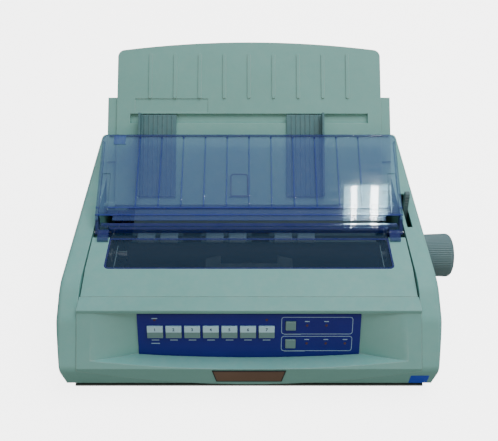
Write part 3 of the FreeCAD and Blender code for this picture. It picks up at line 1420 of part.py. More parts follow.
def make_paper_pan():
    inside = platen_radius + pan_gap
    outside = inside + pan_sheet
    width = (-platen_width / 2 + platen_shift, platen_width / 2 + platen_shift)
    ring = carve("pan_ring", rod("pan_outer", "X", outside, width, (platen_y, platen_height)),
                 [rod("pan_inner", "X", inside, (-half, half), (platen_y, platen_height)),
                  box("pan_top_cut", (-half, half), (platen_y - outside * 2, platen_y + outside * 2),
                      (platen_height, platen_height + outside * 2)),
                  box("pan_front_cut", (-half, half),
                      (platen_y - outside * 2, platen_y - platen_radius * pan_front_share),
                      (0, platen_height + overrun))])
    chute = prism("pan_chute", "YZ", [
        (platen_y + inside, platen_height - pan_sheet), (platen_y + outside, platen_height - pan_sheet),
        (guide_y - pan_gap,
         guide_base_height - pan_gap * 4), (guide_y - pan_gap, guide_base_height - pan_gap * 3),
        (platen_y + inside, platen_height + pan_sheet)], width)
    legs = [box(f"pan_leg_{name}", (x - post_radius, x + post_radius),
                (platen_y - pan_sheet, platen_y + pan_sheet),
                (tray_floor, platen_height - inside - pan_sheet / 2))
            for name, x in (("left", -platen_width * pan_leg_share), ("right", platen_width * pan_leg_share))]
    keep("paper_pan", join("paper_pan", [ring, chute] + legs))


pan_front_share = 0.5
pan_leg_share = 0.33


def make_paper_lever():
    low, high = lever_place - lever_thick / 2, lever_place + lever_thick / 2
    strap = box("lever_strap", (low, high), (-lever_width / 2, lever_width / 2),
                (0, lever_length - lever_width / 2))
    pieces = [strap, rod("lever_hub", "X", lever_hub_radius, (low, high), (0, 0)),
              rod("lever_tip", "X", lever_width / 2, (low, high), (0, lever_length - lever_width / 2))]
    for number in range(4):
        height = lever_length - lever_width * (0.7 + number * 0.45)
        pieces.append(box(f"lever_grip_{number}", (low, high),
                          (-lever_width / 2 - soft_gap, lever_width / 2 + soft_gap),
                          (height, height + pan_sheet)))
    hole = rod("lever_way", "X", lever_pin_radius + run_gap, (0, half), (0, 0))
    keep("paper_lever", carve("paper_lever", join("lever_form", pieces), [hole]), lever_y,
         lever_pivot_height, -lever_rest_angle)


# Electrics
def make_electrics():
    board_z = tray_floor + standoff_height
    low_x, low_y = board_centre_x - mains_board_width / 2, board_centre_y - mains_board_depth / 2
    pieces = [box("mains_sheet", (low_x, low_x + mains_board_width), (low_y, low_y + mains_board_depth),
                  (board_z, board_z + board_sheet))]
    for number, (x_share, y_share, wide_share, deep_share, tall) in enumerate(chip_shares):
        chip_x, chip_y = low_x + mains_board_width * x_share, low_y + mains_board_depth * y_share
        pieces.append(box(f"chip_{number}", (chip_x, chip_x + mains_board_width * wide_share),
                          (chip_y, chip_y + mains_board_depth * deep_share),
                          (board_z, board_z + board_sheet + board_chip_height * tall)))
    keep("main_board", join("main_board", pieces))
    mid_y = back - board_rear_inset - transformer_depth
    core_low = tray_floor + transformer_height * 0.2
    keep("transformer", join("transformer", [
        box("core", (-transformer_place - transformer_width / 2,
                     -transformer_place + transformer_width / 2),
            (mid_y - transformer_depth / 3, mid_y + transformer_depth / 3),
            (tray_floor, tray_floor + transformer_height)),
        box("coil", (-transformer_place - transformer_width / 3,
                     -transformer_place + transformer_width / 3),
            (mid_y - transformer_depth / 3 - coil_bulge, mid_y + transformer_depth / 3 + coil_bulge),
            (core_low, tray_floor + transformer_height * 0.8))]))
    inlet = carve("power_inlet", box("inlet_block", (inlet_x - inlet_width / 2, inlet_x + inlet_width / 2),
                                     (back - inlet_depth, back),
                                     (inlet_base, inlet_base + inlet_height)),
                  [box("inlet_well", (inlet_x - inlet_width / 2 + inlet_wall,
                                      inlet_x + inlet_width / 2 - inlet_wall),
                       (back - inlet_well, back + overrun),
                       (inlet_base + inlet_wall, inlet_base + inlet_height - inlet_wall))])
    blades = [box(f"blade_{number}", (inlet_x + number * inlet_width / 4 - contact_width / 2,
                                      inlet_x + number * inlet_width / 4 + contact_width / 2),
                  (back - inlet_depth + inlet_wall / 2, back - inlet_wall),
                  (inlet_base + inlet_height / 2 - contact_height / 2,
                   inlet_base + inlet_height / 2 + contact_height / 2))
              for number in (-1, 0, 1)]
    keep("power_inlet", join("power_inlet", [inlet] + blades))
    middle_z = inlet_base + switch_height / 2
    wide, tall = switch_width / 2 - shell_wall / 2 - soft_gap, switch_height / 2 - soft_gap * 2
    pivot_y = back - shell_wall * 2
    rocker = prism("rocker_form", "YZ", [(-shell_wall, -tall * 0.75), (shell_wall * 1.2, -tall * 0.85),
                                         (shell_wall * 1.7, as_size(0)),
                                         (shell_wall * 1.2, tall * 0.85), (-shell_wall, tall * 0.75)],
                   (switch_x - wide, switch_x + wide))
    pin_reach = switch_width / 2 - soft_gap
    keep("power_switch", join("power_switch", [
        rocker,
        rod("rocker_pin", "X", shell_wall / 2, (switch_x - pin_reach, switch_x + pin_reach), (0, 0))]),
        pivot_y, middle_z, -switch_swing_angle)
    case = box("switch_block", (switch_x - switch_width / 2 - shell_wall / 2,
                                switch_x + switch_width / 2 + shell_wall / 2),
               (back - shell_wall * 5, back - shell_wall),
               (inlet_base - shell_wall, inlet_base + switch_height + shell_wall))
    keep("switch_housing", carve("switch_housing", case, [
        box("switch_well", (switch_x - wide - soft_gap, switch_x + wide + soft_gap),
            (back - shell_wall * 4, back),
            (inlet_base, inlet_base + switch_height)),
        rod("rocker_way", "X", shell_wall / 2 + run_gap,
            (switch_x - switch_width / 2, switch_x + switch_width / 2), (pivot_y, middle_z))]))
    for label, place, width, height in (("parallel_port", port_place, port_width, port_height),
                                        ("usb_port", usb_place, usb_width, usb_height)):
        block = box(f"{label}_block", (place - width / 2, place + width / 2), (back - port_depth, back),
                    (port_base, port_base + height))
        well = box(f"{label}_well", (place - width / 2 + inlet_wall, place + width / 2 - inlet_wall),
                   (back - port_depth * 0.7, back + overrun),
                   (port_base + inlet_wall, port_base + height - inlet_wall))
        tongue = box(f"{label}_tongue", (place - width / 4, place + width / 4),
                     (back - port_depth * 0.8, back - inlet_wall),
                     (port_base + height / 2 - inlet_wall / 2, port_base + height / 2 + inlet_wall / 2))
        keep(label, join(label, [carve(f"{label}_shell", block, [well]), tongue]))


chip_shares = ((0.08, 0.15, 0.16, 0.3, 1), (0.4, 0.2, 0.2, 0.35, 0.6), (0.75, 0.12, 0.08, 0.5, 3),
               (0.1, 0.65, 0.5, 0.12, 0.8),
               (0.88, 0.2, 0.07, 0.18, 4))


def check_and_write():
    """Refuse a failed object or an empty shape, then write one file per sub-part."""
    doc.recompute()
    for thing in doc.Objects:
        if {"Invalid", "Error"} & set(thing.State):
            raise RuntimeError(f"{thing.Name} failed: {thing.State}")
    os.makedirs("parts", exist_ok=True)
    for label, thing in parts.items():
        if thing.Shape.isNull() or not thing.Shape.isValid() or not thing.Shape.Solids:
            raise RuntimeError(f"{label} has no valid solid")
        thing.Shape.exportStep(os.path.join("parts", f"{label}.step"))
    print(f"{len(parts)} sub-parts written")


for make in (make_upper_case, make_base, make_feet, make_screws, make_bezel, make_panel, make_plates,
             make_cover, make_window, make_hinge_pins, make_flap, make_sheet_guide, make_edge_guides,
             make_gear_train, make_platen, make_side_frames, make_rails, make_carriage, make_belt_drive, make_bail, make_paper_pan,
             make_paper_lever, make_electrics):
    make()
check_and_write()
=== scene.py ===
"""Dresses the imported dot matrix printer: moulded plastics, clear hinged parts, panel, mechanism and studio."""

import json
import logging
import math
from dataclasses import dataclass, field
from enum import Enum, IntEnum
from typing import Any, Iterable

import bmesh
import bpy
from mathutils import Matrix, Vector

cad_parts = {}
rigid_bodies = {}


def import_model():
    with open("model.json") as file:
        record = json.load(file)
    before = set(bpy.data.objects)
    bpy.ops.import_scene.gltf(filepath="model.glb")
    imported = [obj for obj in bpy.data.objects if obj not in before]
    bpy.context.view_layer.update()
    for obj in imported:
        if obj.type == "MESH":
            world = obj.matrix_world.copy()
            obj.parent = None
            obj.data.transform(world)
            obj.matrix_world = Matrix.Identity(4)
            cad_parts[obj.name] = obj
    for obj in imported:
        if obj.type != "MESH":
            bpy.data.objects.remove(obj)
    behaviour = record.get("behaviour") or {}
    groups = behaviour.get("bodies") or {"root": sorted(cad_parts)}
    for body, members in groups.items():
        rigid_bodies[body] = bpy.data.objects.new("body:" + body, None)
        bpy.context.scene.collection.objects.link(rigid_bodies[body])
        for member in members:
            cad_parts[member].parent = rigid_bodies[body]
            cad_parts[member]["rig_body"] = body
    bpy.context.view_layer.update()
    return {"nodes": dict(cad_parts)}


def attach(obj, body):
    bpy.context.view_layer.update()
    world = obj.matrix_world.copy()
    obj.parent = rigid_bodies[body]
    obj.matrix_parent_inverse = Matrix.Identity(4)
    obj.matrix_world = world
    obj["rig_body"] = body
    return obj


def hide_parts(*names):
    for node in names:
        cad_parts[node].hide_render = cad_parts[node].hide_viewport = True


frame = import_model()
LOG = logging.getLogger("printer")
MM = 0.001
MERGE_DISTANCE = 0.00002  # metres: nearer vertices are one
FLAT_ANGLE = 0.6  # degrees: faces that turn by less are one
SHARP_ANGLE = 28.0  # degrees: edges that turn by more are rounded
ON_END = Matrix.Rotation(math.radians(90), 4, "X")

Colour = tuple[float, float, float, float]
Span = tuple[float, float]
BLACK: Colour = (0.0, 0.0, 0.0, 1.0)
WHITE: Colour = (1.0, 1.0, 1.0, 1.0)
FULL: Span = (0.0, 1.0)


def paint(red: float, green: float, blue: float) -> Colour:
    """Turns a screen colour into the linear colour that a shader takes.

    Args:
        red: Red from 0 to 255.
        green: Green from 0 to 255.
        blue: Blue from 0 to 255.

    Returns:
        The linear colour, opaque.
    """
    return tuple(((part / 255 + 0.055) / 1.055) ** 2.4 for part in (red, green, blue)) + (1.0,)


class Wiring:
    """Adds nodes to one node tree and links them."""

    def __init__(self, tree: bpy.types.NodeTree) -> None:
        """Keeps the tree that the nodes go into."""
        self.tree = tree

    def add(self, kind: str, sockets: dict[Any, Any] | None = None, **settings: Any) -> bpy.types.Node:
        """Adds one node.

        Args:
            kind: The node's type name without "ShaderNode".
            sockets: Values or outputs for its inputs, by name or number.
            settings: Properties of the node itself.

        Returns:
            The new node.
        """
        node = self.tree.nodes.new(kind if kind.startswith("Node") else f"ShaderNode{kind}")
        for key, value in settings.items():
            setattr(node, key, value)
        for key, value in (sockets or {}).items():
            self.feed(node, key, value)
        return node

    def feed(self, node: bpy.types.Node, key: Any, value: Any) -> None:
        """Sets or links one input of a node.

        Args:
            node: The node.
            key: The input's name or number.
            value: A plain value or another node's output.
        """
        if isinstance(value, bpy.types.NodeSocket):
            self.tree.links.new(value, node.inputs[key])
        else:
            node.inputs[key].default_value = value

    def sums(self, operation: str, one: Any, two: Any, clamp: bool = False) -> bpy.types.NodeSocket:
        """Combines two numbers or outputs with a Math node."""
        return self.add("Math", {0: one, 1: two}, operation=operation, use_clamp=clamp).outputs[0]

    def blend(self, share: Any, one: Any, two: Any) -> bpy.types.NodeSocket:
        """Mixes two colours by a share."""
        return self.add("Mix", {0: share, 6: one, 7: two}, data_type="RGBA").outputs[2]

    def spread(self, value: Any, given: Span = FULL, wanted: Span = FULL) -> bpy.types.NodeSocket:
        """Maps a span of values onto another, clamped."""
        sockets = {0: value, 1: given[0], 2: given[1], 3: wanted[0], 4: wanted[1]}
        return self.add("MapRange", sockets, clamp=True).outputs[0]

    def effect(self, group: bpy.types.NodeTree, place: bpy.types.NodeSocket, **values: float) -> bpy.types.Node:
        """Adds a shared effect on object coordinates, with its own values."""
        return self.add("Group", {"Vector": place, **values}, node_tree=group)

    def bump(self, height: bpy.types.NodeSocket, strength: float, depth: float, **more: Any) -> bpy.types.NodeSocket:
        """Turns a height into a normal."""
        return self.add("Bump", {"Strength": strength, "Distance": depth, "Height": height, **more}).outputs[0]


def shader_group(name: str, inputs: dict[str, tuple[str, Any]], outputs: Iterable[str]) -> tuple[Wiring, Any, Any]:
    """Starts a shader node group.

    Args:
        name: The group's name.
        inputs: Each input's socket type and default value.
        outputs: The names of its float outputs.

    Returns:
        The group's wiring, its input node and its output node.
    """
    tree = bpy.data.node_groups.new(name, "ShaderNodeTree")
    for label, (kind, default) in inputs.items():
        socket = tree.interface.new_socket(label, in_out="INPUT", socket_type=kind)
        if default is not None:
            socket.default_value = default
    for label in outputs:
        tree.interface.new_socket(label, in_out="OUTPUT", socket_type="NodeSocketFloat")
    wiring = Wiring(tree)
    return wiring, wiring.add("NodeGroupInput"), wiring.add("NodeGroupOutput")


def build_grain_group() -> bpy.types.NodeTree:
    """Makes the spark-eroded grain of moulded plastic, with a broad mottle and fine rubbed streaks.

    Returns:
        The node group.
    """
    sockets = {"Vector": ("NodeSocketVector", None), "Pits": ("NodeSocketFloat", 1400.0)}
    wires, given, out = shader_group("moulded_grain", sockets, ("Height", "Mottle", "Streaks"))
    place = given.outputs["Vector"]
    pits = wires.add("TexNoise", {"Vector": place, "Scale": given.outputs["Pits"], "Detail": 2.0})
    wires.feed(out, "Height", pits.outputs["Fac"])
    mottle = wires.add("TexNoise", {"Vector": place, "Scale": 14.0, "Detail": 3.0, "Roughness": 0.6})
    wires.feed(out, "Mottle", wires.spread(mottle.outputs["Fac"], (0.3, 0.7)))
    drawn = wires.add("Mapping", {"Vector": place, "Scale": (18.0, 300.0, 300.0)})
    streaks = wires.add("TexNoise", {"Vector": drawn.outputs[0], "Scale": 1.0, "Detail": 4.0})
    wires.feed(out, "Streaks", wires.spread(streaks.outputs["Fac"], (0.45, 0.75)))
    return wires.tree


def build_edge_group() -> bpy.types.NodeTree:
    """Makes a mask that is 0 on flats and 1 along edges, where a rounded normal leans off the true one.

    Returns:
        The node group.
    """
    wires, given, out = shader_group("edge_line", {"Gain": ("NodeSocketFloat", 6.0)}, ("Mask",))
    rounded = wires.add("Bevel", {"Radius": 0.0011}, samples=4)
    true = wires.add("NewGeometry")
    lean = wires.add("VectorMath", {0: rounded.outputs[0], 1: true.outputs["True Normal"]}, operation="DOT_PRODUCT")
    gap = wires.sums("SUBTRACT", 1.0, lean.outputs["Value"])
    wires.feed(out, "Mask", wires.sums("MULTIPLY", gap, given.outputs["Gain"], clamp=True))
    return wires.tree


def build_dust_group() -> bpy.types.NodeTree:
    """Makes a mask of dust that settles on surfaces that face upwards.

    Returns:
        The node group.
    """
    sockets = {"Vector": ("NodeSocketVector", None), "Amount": ("NodeSocketFloat", 0.2)}
    wires, given, out = shader_group("settled_dust", sockets, ("Mask",))
    facing = wires.add("SeparateXYZ", {0: wires.add("NewGeometry").outputs["Normal"]})
    up = wires.spread(facing.outputs["Z"], (0.2, 1.0))
    flecks = {"Vector": given.outputs["Vector"], "Scale": 90.0, "Detail": 6.0, "Roughness": 0.7}
    scattered = wires.spread(wires.add("TexNoise", flecks).outputs["Fac"], (0.4, 0.75))
    wires.feed(out, "Mask", wires.sums("MULTIPLY", wires.sums("MULTIPLY", up, scattered), given.outputs["Amount"]))
    return wires.tree


GRAIN = build_grain_group()
EDGE = build_edge_group()
DUST = build_dust_group()
RUBBED_EDGE = paint(226, 236, 232)
PALE_DUST = paint(206, 208, 198)
BLUISH_DUST = paint(150, 170, 180)
TARNISH = paint(60, 62, 64)


def blank_material(name: str) -> tuple[bpy.types.Material, Wiring, bpy.types.Node, bpy.types.NodeSocket]:
    """Starts a node material.

    Args:
        name: The material's name.

    Returns:
        The material, its wiring, its shader and the object coordinates.
    """
    material = bpy.data.materials.new(name)
    material.use_nodes = True
    wires = Wiring(material.node_tree)
    shader = material.node_tree.nodes["Principled BSDF"]
    coordinates = wires.add("TexCoord").outputs["Object"]
    return material, wires, shader, coordinates


@dataclass(frozen=True)
class Finish:
    """What a surface is made of.

    Attributes:
        name: The material's name.
    """

    name: str

    def build(self) -> bpy.types.Material:
        """Makes the material, in each class below in its own way."""
        raise NotImplementedError


@dataclass(frozen=True)
class Plastic(Finish):
    """Moulded opaque plastic with a fine grain.

    Attributes:
        colour: Its main colour.
        shade: The colour of its darker mottle.
        roughness: Mean roughness.
        pits: Grain pits per metre.
        depth: Grain depth in metres.
        dust: Share of dust on upward faces.
        wear: How much its edges are rubbed lighter.
        streak: How much rougher its rubbed streaks are.
    """

    colour: Colour
    shade: Colour
    roughness: float = 0.46
    pits: float = 1500.0
    depth: float = 0.00004
    dust: float = 0.10
    wear: float = 0.25
    streak: float = 0.08

    def build(self) -> bpy.types.Material:
        """Makes the material.

        Returns:
            The material.
        """
        material, wires, shader, place = blank_material(self.name)
        grain = wires.effect(GRAIN, place, Pits=self.pits)
        dust = wires.effect(DUST, place, Amount=self.dust)
        edge = wires.add("Group", node_tree=EDGE)
        base = wires.blend(grain.outputs["Mottle"], self.colour, self.shade)
        rubbed = wires.blend(wires.sums("MULTIPLY", edge.outputs["Mask"], self.wear), base, RUBBED_EDGE)
        wires.feed(shader, "Base Color", wires.blend(dust.outputs["Mask"], rubbed, PALE_DUST))
        streaks = wires.sums("MULTIPLY", grain.outputs["Streaks"], self.streak)
        wires.feed(shader, "Roughness", wires.sums("ADD", self.roughness, streaks))
        rounded = wires.add("Bevel", {"Radius": 0.0007}, samples=4)
        grained = wires.bump(grain.outputs["Height"], strength=0.6, depth=self.depth, Normal=rounded.outputs[0])
        wires.feed(shader, "Normal", grained)
        return material


@dataclass(frozen=True)
class Clear(Finish):
    """Tinted clear plastic, see-through on its faces.

    Attributes:
        tint: Its colour.
        cover: How much one surface hides what lies behind it.
        haze: How much a faint bloom adds to that.
        dust: Share of dust on upward faces.
        gloss: Its least and its greatest roughness.
    """

    tint: Colour
    cover: float
    haze: float = 0.05
    dust: float = 0.1
    gloss: Span = (0.04, 0.13)

    def build(self) -> bpy.types.Material:
        """Makes the material.

        Returns:
            The material.
        """
        material, wires, shader, place = blank_material(self.name)
        grain = wires.effect(GRAIN, place)
        dust = wires.effect(DUST, place, Amount=self.dust)
        wires.feed(shader, "Base Color", wires.blend(dust.outputs["Mask"], self.tint, BLUISH_DUST))
        bloom = wires.sums("MULTIPLY", grain.outputs["Mottle"], self.haze)
        wires.feed(shader, "Alpha", wires.sums("ADD", self.cover, bloom, clamp=True))
        wires.feed(shader, "Roughness", wires.spread(grain.outputs["Streaks"], wanted=self.gloss))
        shader.inputs["Coat Weight"].default_value = 1.0
        shader.inputs["Coat Roughness"].default_value = 0.02
        shader.inputs["IOR"].default_value = 1.5
        return material


@dataclass(frozen=True)
class Metal(Finish):
    """Ground or plated metal with fine lines along X.

    Attributes:
        colour: Its colour.
        roughness: Mean roughness.
        brushed: How strongly the grinding lines show.
        stain: How strongly it is tarnished.
    """

    colour: Colour
    roughness: float
    brushed: float = 0.2
    stain: float = 0.25

    def build(self) -> bpy.types.Material:
        """Makes the material.

        Returns:
            The material.
        """
        material, wires, shader, place = blank_material(self.name)
        grain = wires.effect(GRAIN, place)
        stained = wires.sums("MULTIPLY", grain.outputs["Mottle"], self.stain)
        wires.feed(shader, "Base Color", wires.blend(stained, self.colour, TARNISH))
        shader.inputs["Metallic"].default_value = 1.0
        lines = wires.sums("MULTIPLY", grain.outputs["Streaks"], self.brushed)
        wires.feed(shader, "Roughness", wires.sums("ADD", self.roughness, lines))
        wires.feed(shader, "Normal", wires.add("Bevel", {"Radius": 0.0004}, samples=4).outputs[0])
        return material


@dataclass(frozen=True)
class Rubber(Finish):
    """Matt rubber with a faint bloom.

    Attributes:
        colour: Its colour.
        bloom: The colour of the pale bloom on it.
        bloom_share: How strongly that bloom shows.
        gloss: Its least and its greatest roughness.
    """

    colour: Colour
    bloom: Colour
    bloom_share: float = 0.35
    gloss: Span = (0.68, 0.86)

    def build(self) -> bpy.types.Material:
        """Makes the material.

        Returns:
            The material.
        """
        material, wires, shader, place = blank_material(self.name)
        grain = wires.effect(GRAIN, place, Pits=2600.0)
        bloomed = wires.sums("MULTIPLY", grain.outputs["Mottle"], self.bloom_share)
        wires.feed(shader, "Base Color", wires.blend(bloomed, self.colour, self.bloom))
        wires.feed(shader, "Roughness", wires.spread(grain.outputs["Streaks"], wanted=self.gloss))
        wires.feed(shader, "Normal", wires.bump(grain.outputs["Height"], strength=0.3, depth=0.00002))
        return material


@dataclass(frozen=True)
class Film(Finish):
    """A smooth printed film, with a faint orange-peel surface.

    Attributes:
        colour: Its colour.
        shade: The colour of its faint unevenness.
        roughness: Its least roughness.
        metallic: 1 for a metallised film.
        rubbed: How much rougher its rubbed streaks are.
    """

    colour: Colour
    shade: Colour
    roughness: float
    metallic: float = 0.0
    rubbed: float = 0.1

    def build(self) -> bpy.types.Material:
        """Makes the material.

        Returns:
            The material.
        """
        material, wires, shader, place = blank_material(self.name)
        grain = wires.effect(GRAIN, place, Pits=700.0)
        wires.feed(shader, "Base Color", wires.blend(grain.outputs["Mottle"], self.colour, self.shade))
        gloss = (self.roughness, self.roughness + self.rubbed)
        wires.feed(shader, "Roughness", wires.spread(grain.outputs["Streaks"], wanted=gloss))
        shader.inputs["Metallic"].default_value = self.metallic
        wires.feed(shader, "Normal", wires.bump(grain.outputs["Height"], strength=0.25, depth=0.00003))
        return material


@dataclass(frozen=True)
class Board(Finish):
    """A lacquered circuit board with faint copper lines under the lacquer.

    Attributes:
        lacquer: The lacquer's colour.
        line: The colour of the copper lines.
        gloss: Its least and its greatest roughness.
    """

    lacquer: Colour
    line: Colour
    gloss: Span = (0.3, 0.45)

    def build(self) -> bpy.types.Material:
        """Makes the material.

        Returns:
            The material.
        """
        material, wires, shader, place = blank_material(self.name)
        tracks = wires.add("TexBrick", {"Vector": place, "Scale": 90.0, "Mortar Size": 0.04, "Color1": self.lacquer,
                                        "Color2": self.lacquer, "Mortar": self.line})
        wires.feed(shader, "Base Color", tracks.outputs["Color"])
        grain = wires.effect(GRAIN, place)
        wires.feed(shader, "Roughness", wires.spread(grain.outputs["Mottle"], wanted=self.gloss))
        return material


class Kind(Enum):
    """The finishes that the printer's pieces wear."""

    IVORY = Plastic("ivory_plastic", paint(118, 179, 175), paint(113, 174, 169))
    BEZEL = Plastic("bezel_plastic", paint(116, 175, 171), paint(111, 170, 165))
    GUIDE = Plastic("guide_plastic", paint(123, 180, 173), paint(118, 174, 167))
    BASE = Plastic("base_plastic", paint(52, 66, 64), paint(46, 60, 58), dust=0.05)
    EDGE_GUIDE = Plastic("blue_grey_plastic", paint(82, 124, 130), paint(76, 118, 125), wear=0.1)
    KNOB = Plastic("knob_plastic", paint(80, 118, 126), paint(74, 112, 121), roughness=0.5, dust=0.06)
    LEVER = Plastic("lever_plastic", paint(78, 110, 116), paint(72, 104, 110), roughness=0.42)
    # Wide keys: upper halves painted pale as a painted highlight; key_grey paints their lower halves as painted
    # shade, and the square keys whole.
    KEY_LIGHT = Plastic("key_painted_lit", paint(170, 220, 238), paint(165, 215, 233), roughness=0.38, dust=0.03)
    KEY_DARK = Plastic("key_grey", paint(104, 144, 146), paint(98, 138, 141), roughness=0.38, dust=0.03)
    DARK = Plastic("dark_plastic", paint(26, 35, 40), paint(20, 28, 32), roughness=0.55, depth=0.000012, dust=0.04,
                   wear=0.08)
    PAN = Plastic("pan_plastic", paint(58, 82, 90), paint(52, 75, 84), roughness=0.45, dust=0.03, wear=0.08)
    GEAR = Plastic("gear_plastic", paint(205, 208, 198), paint(196, 200, 190), roughness=0.35)
    ROLLER = Rubber("roller_rubber", paint(128, 158, 180), paint(112, 142, 166))
    PLATEN = Rubber("platen_rubber", paint(10, 14, 24), paint(18, 24, 36))
    FOOT = Rubber("foot_rubber", paint(30, 31, 32), paint(52, 52, 50))
    BELT = Rubber("belt_rubber", paint(22, 22, 23), paint(40, 40, 40))
    CLEAR = Clear("clear_plastic", paint(76, 106, 180), cover=0.24)
    CLEAR_WINDOW = Clear("window_plastic", paint(32, 70, 102), cover=0.22, haze=0.02, dust=0.008)
    CLEAR_EDGE = Clear("clear_edge", paint(18, 40, 120), cover=0.6)
    CLEAR_RIB = Clear("clear_rib", paint(34, 58, 172), cover=0.5)
    CLEAR_LIP = Clear("clear_lip", paint(150, 182, 190), cover=0.7)
    PANEL = Film("panel_blue", paint(0, 18, 128), paint(0, 16, 120), roughness=0.5)
    PRINT = Film("panel_print", paint(150, 190, 216), paint(145, 186, 212), roughness=0.4)
    INK = Film("key_ink", paint(16, 40, 92), paint(14, 36, 86), roughness=0.4)
    PLATE = Film("plate_bronze", paint(118, 100, 84), paint(110, 92, 78), roughness=0.36, metallic=0.4)
    PLATE_RIM = Film("plate_rim", paint(28, 28, 30), paint(22, 22, 24), roughness=0.3)
    LABEL = Film("label_blue", paint(8, 74, 214), paint(6, 69, 204), roughness=0.4)
    LENS = Film("light_lens", paint(84, 60, 70), paint(76, 54, 64), roughness=0.15)
    BRIGHT = Metal("bright_steel", paint(190, 194, 196), roughness=0.22)
    PLATED = Metal("frame_steel", paint(150, 154, 154), roughness=0.36)
    MOTOR = Metal("motor_steel", paint(110, 112, 114), roughness=0.42)
    BRASS = Metal("pinion_brass", paint(206, 178, 112), roughness=0.3)
    HEAD = Metal("head_aluminium", paint(60, 64, 68), roughness=0.4)
    BOARD = Board("board_green", paint(24, 82, 52), paint(62, 122, 74))


MATERIALS: dict[Kind, bpy.types.Material] = {kind: kind.value.build() for kind in Kind}


@dataclass(frozen=True)
class DrawingFrame:
    """Where a piece that is drawn in millimetres stands in the CAD's frame.

    Attributes:
        y: Its origin along Y, in millimetres.
        z: Its origin's height, in millimetres.
        lean: Its turn about X, in degrees.
        shift: Where the middle of the case lies along X, in millimetres.
    """

    y: float = 0.0
    z: float = 0.0
    lean: float = 0.0
    shift: float = -15.95

    def turn(self) -> Matrix:
        """The turn alone."""
        return Matrix.Rotation(math.radians(self.lean), 4, "X")

    def matrix(self) -> Matrix:
        """The whole way from the drawing's millimetres to metres."""
        return Matrix.Translation(Vector((self.shift, self.y, self.z)) * MM) @ self.turn() @ Matrix.Scale(MM, 4)

    def local(self, point: Vector) -> Vector:
        """A point in metres, in the drawing's millimetres."""
        return self.matrix().inverted() @ point


CASE_FRAME = DrawingFrame()
PANEL_FRAME = DrawingFrame(y=-133.0, z=76.5, lean=-18.4)
FLAP_FRAME = DrawingFrame(y=-25.0, z=96.0, lean=29.4)
GUIDE_FRAME = DrawingFrame(y=31.0, z=94.0, lean=46.0)
WINDOW_FRAME = DrawingFrame(y=-85.0, z=94.6, lean=5.83)
KNOB_FRAME = DrawingFrame(y=-34.0, z=70.0)


def body_of_node(node: str) -> str:
    """Names the CAD body that a node belongs to."""
    return frame["nodes"][node]["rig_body"]


def finish_mesh(name: str, mesh: bmesh.types.BMesh, place: DrawingFrame | None = None,
                smooth_angle: float = 32.0) -> bpy.types.Object:
    """Turns a bmesh into an object at the origin.

    Args:
        name: The piece's name.
        mesh: The finished bmesh, which is freed.
        place: The frame that it was drawn in, or nothing when it is in metres already.
        smooth_angle: Edges flatter than this many degrees are shaded smooth.

    Returns:
        The new object.
    """
    if place:
        bmesh.ops.transform(mesh, matrix=place.matrix(), verts=mesh.verts)
        bmesh.ops.recalc_face_normals(mesh, faces=mesh.faces)
    limit = math.radians(smooth_angle)
    for face in mesh.faces:
        face.smooth = True
    for edge in mesh.edges:
        edge.smooth = len(edge.link_faces) == 2 and edge.calc_face_angle(0.0) < limit
    data = bpy.data.meshes.new(name)
    mesh.to_mesh(data)
    mesh.free()
    piece = bpy.data.objects.new(name, data)
    bpy.context.scene.collection.objects.link(piece)
    shading = piece.modifiers.new("large_faces_lead", "WEIGHTED_NORMAL")
    shading.keep_sharp = True
    return piece


def place_piece(piece: bpy.types.Object, kinds: Iterable[Kind], body: str,
                nodes: Iterable[str] = ()) -> None:
    """Dresses a piece, lets it ride and hides the CAD nodes that it replaces.

    Args:
        piece: The piece.
        kinds: Its finishes, in the order of its faces' material numbers.
        body: The CAD body that it rides on.
        nodes: The CAD nodes that it replaces.
    """
    for kind in kinds:
        piece.data.materials.append(MATERIALS[kind])
    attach(piece, body)
    for node in nodes:
        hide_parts(node)
    LOG.info("%s rides on %s", piece.name, body)


def bevel_edges(mesh: bmesh.types.BMesh, edges: list[bmesh.types.BMEdge], width: float, segments: int = 2) -> None:
    """Rounds some edges of a bmesh.

    Args:
        mesh: The bmesh.
        edges: The edges, or none.
        width: How wide they are rounded, in the bmesh's own units.
        segments: How many steps each edge is rounded in.
    """
    if edges:
        bmesh.ops.bevel(mesh, geom=edges, offset=width, offset_type="OFFSET", segments=segments, profile=0.5,
                        affect="EDGES", material=-1, clamp_overlap=True)


def sheet_with_corners(mesh: bmesh.types.BMesh, matrix: Matrix, radius: float, segments: int = 4,
                       low: float = -math.inf, high: float = math.inf) -> None:
    """Adds one face and rounds its corners, or only those that lie between two places along Y.

    Args:
        mesh: The bmesh.
        matrix: What turns a unit square into the face.
        radius: Radius of its corners.
        segments: How many steps each corner is rounded in.
        low: The first of the two places.
        high: The second one.
    """
    made = bmesh.ops.create_grid(mesh, x_segments=1, y_segments=1, size=0.5, matrix=matrix)
    corners = [vert for vert in made["verts"] if low < vert.co.y < high]
    bmesh.ops.bevel(mesh, geom=corners, offset=radius, offset_type="OFFSET", segments=segments, profile=0.5,
                    affect="VERTICES", material=-1, clamp_overlap=True)


def keep_outlines(mesh: bmesh.types.BMesh, line: float) -> None:
    """Leaves only a line of a given width along the rim of each face with rounded corners."""
    bmesh.ops.inset_region(mesh, faces=mesh.faces, thickness=line, use_boundary=True, use_even_offset=True)
    bmesh.ops.delete(mesh, geom=[one for one in mesh.faces if len(one.verts) > 4], context="FACES_ONLY")


def sharp_edges(mesh: bmesh.types.BMesh) -> list[bmesh.types.BMEdge]:
    """Finds the edges that are sharp enough to be rounded."""
    limit = math.radians(SHARP_ANGLE)
    return [edge for edge in mesh.edges if len(edge.link_faces) == 2 and edge.calc_face_angle(0.0) > limit]


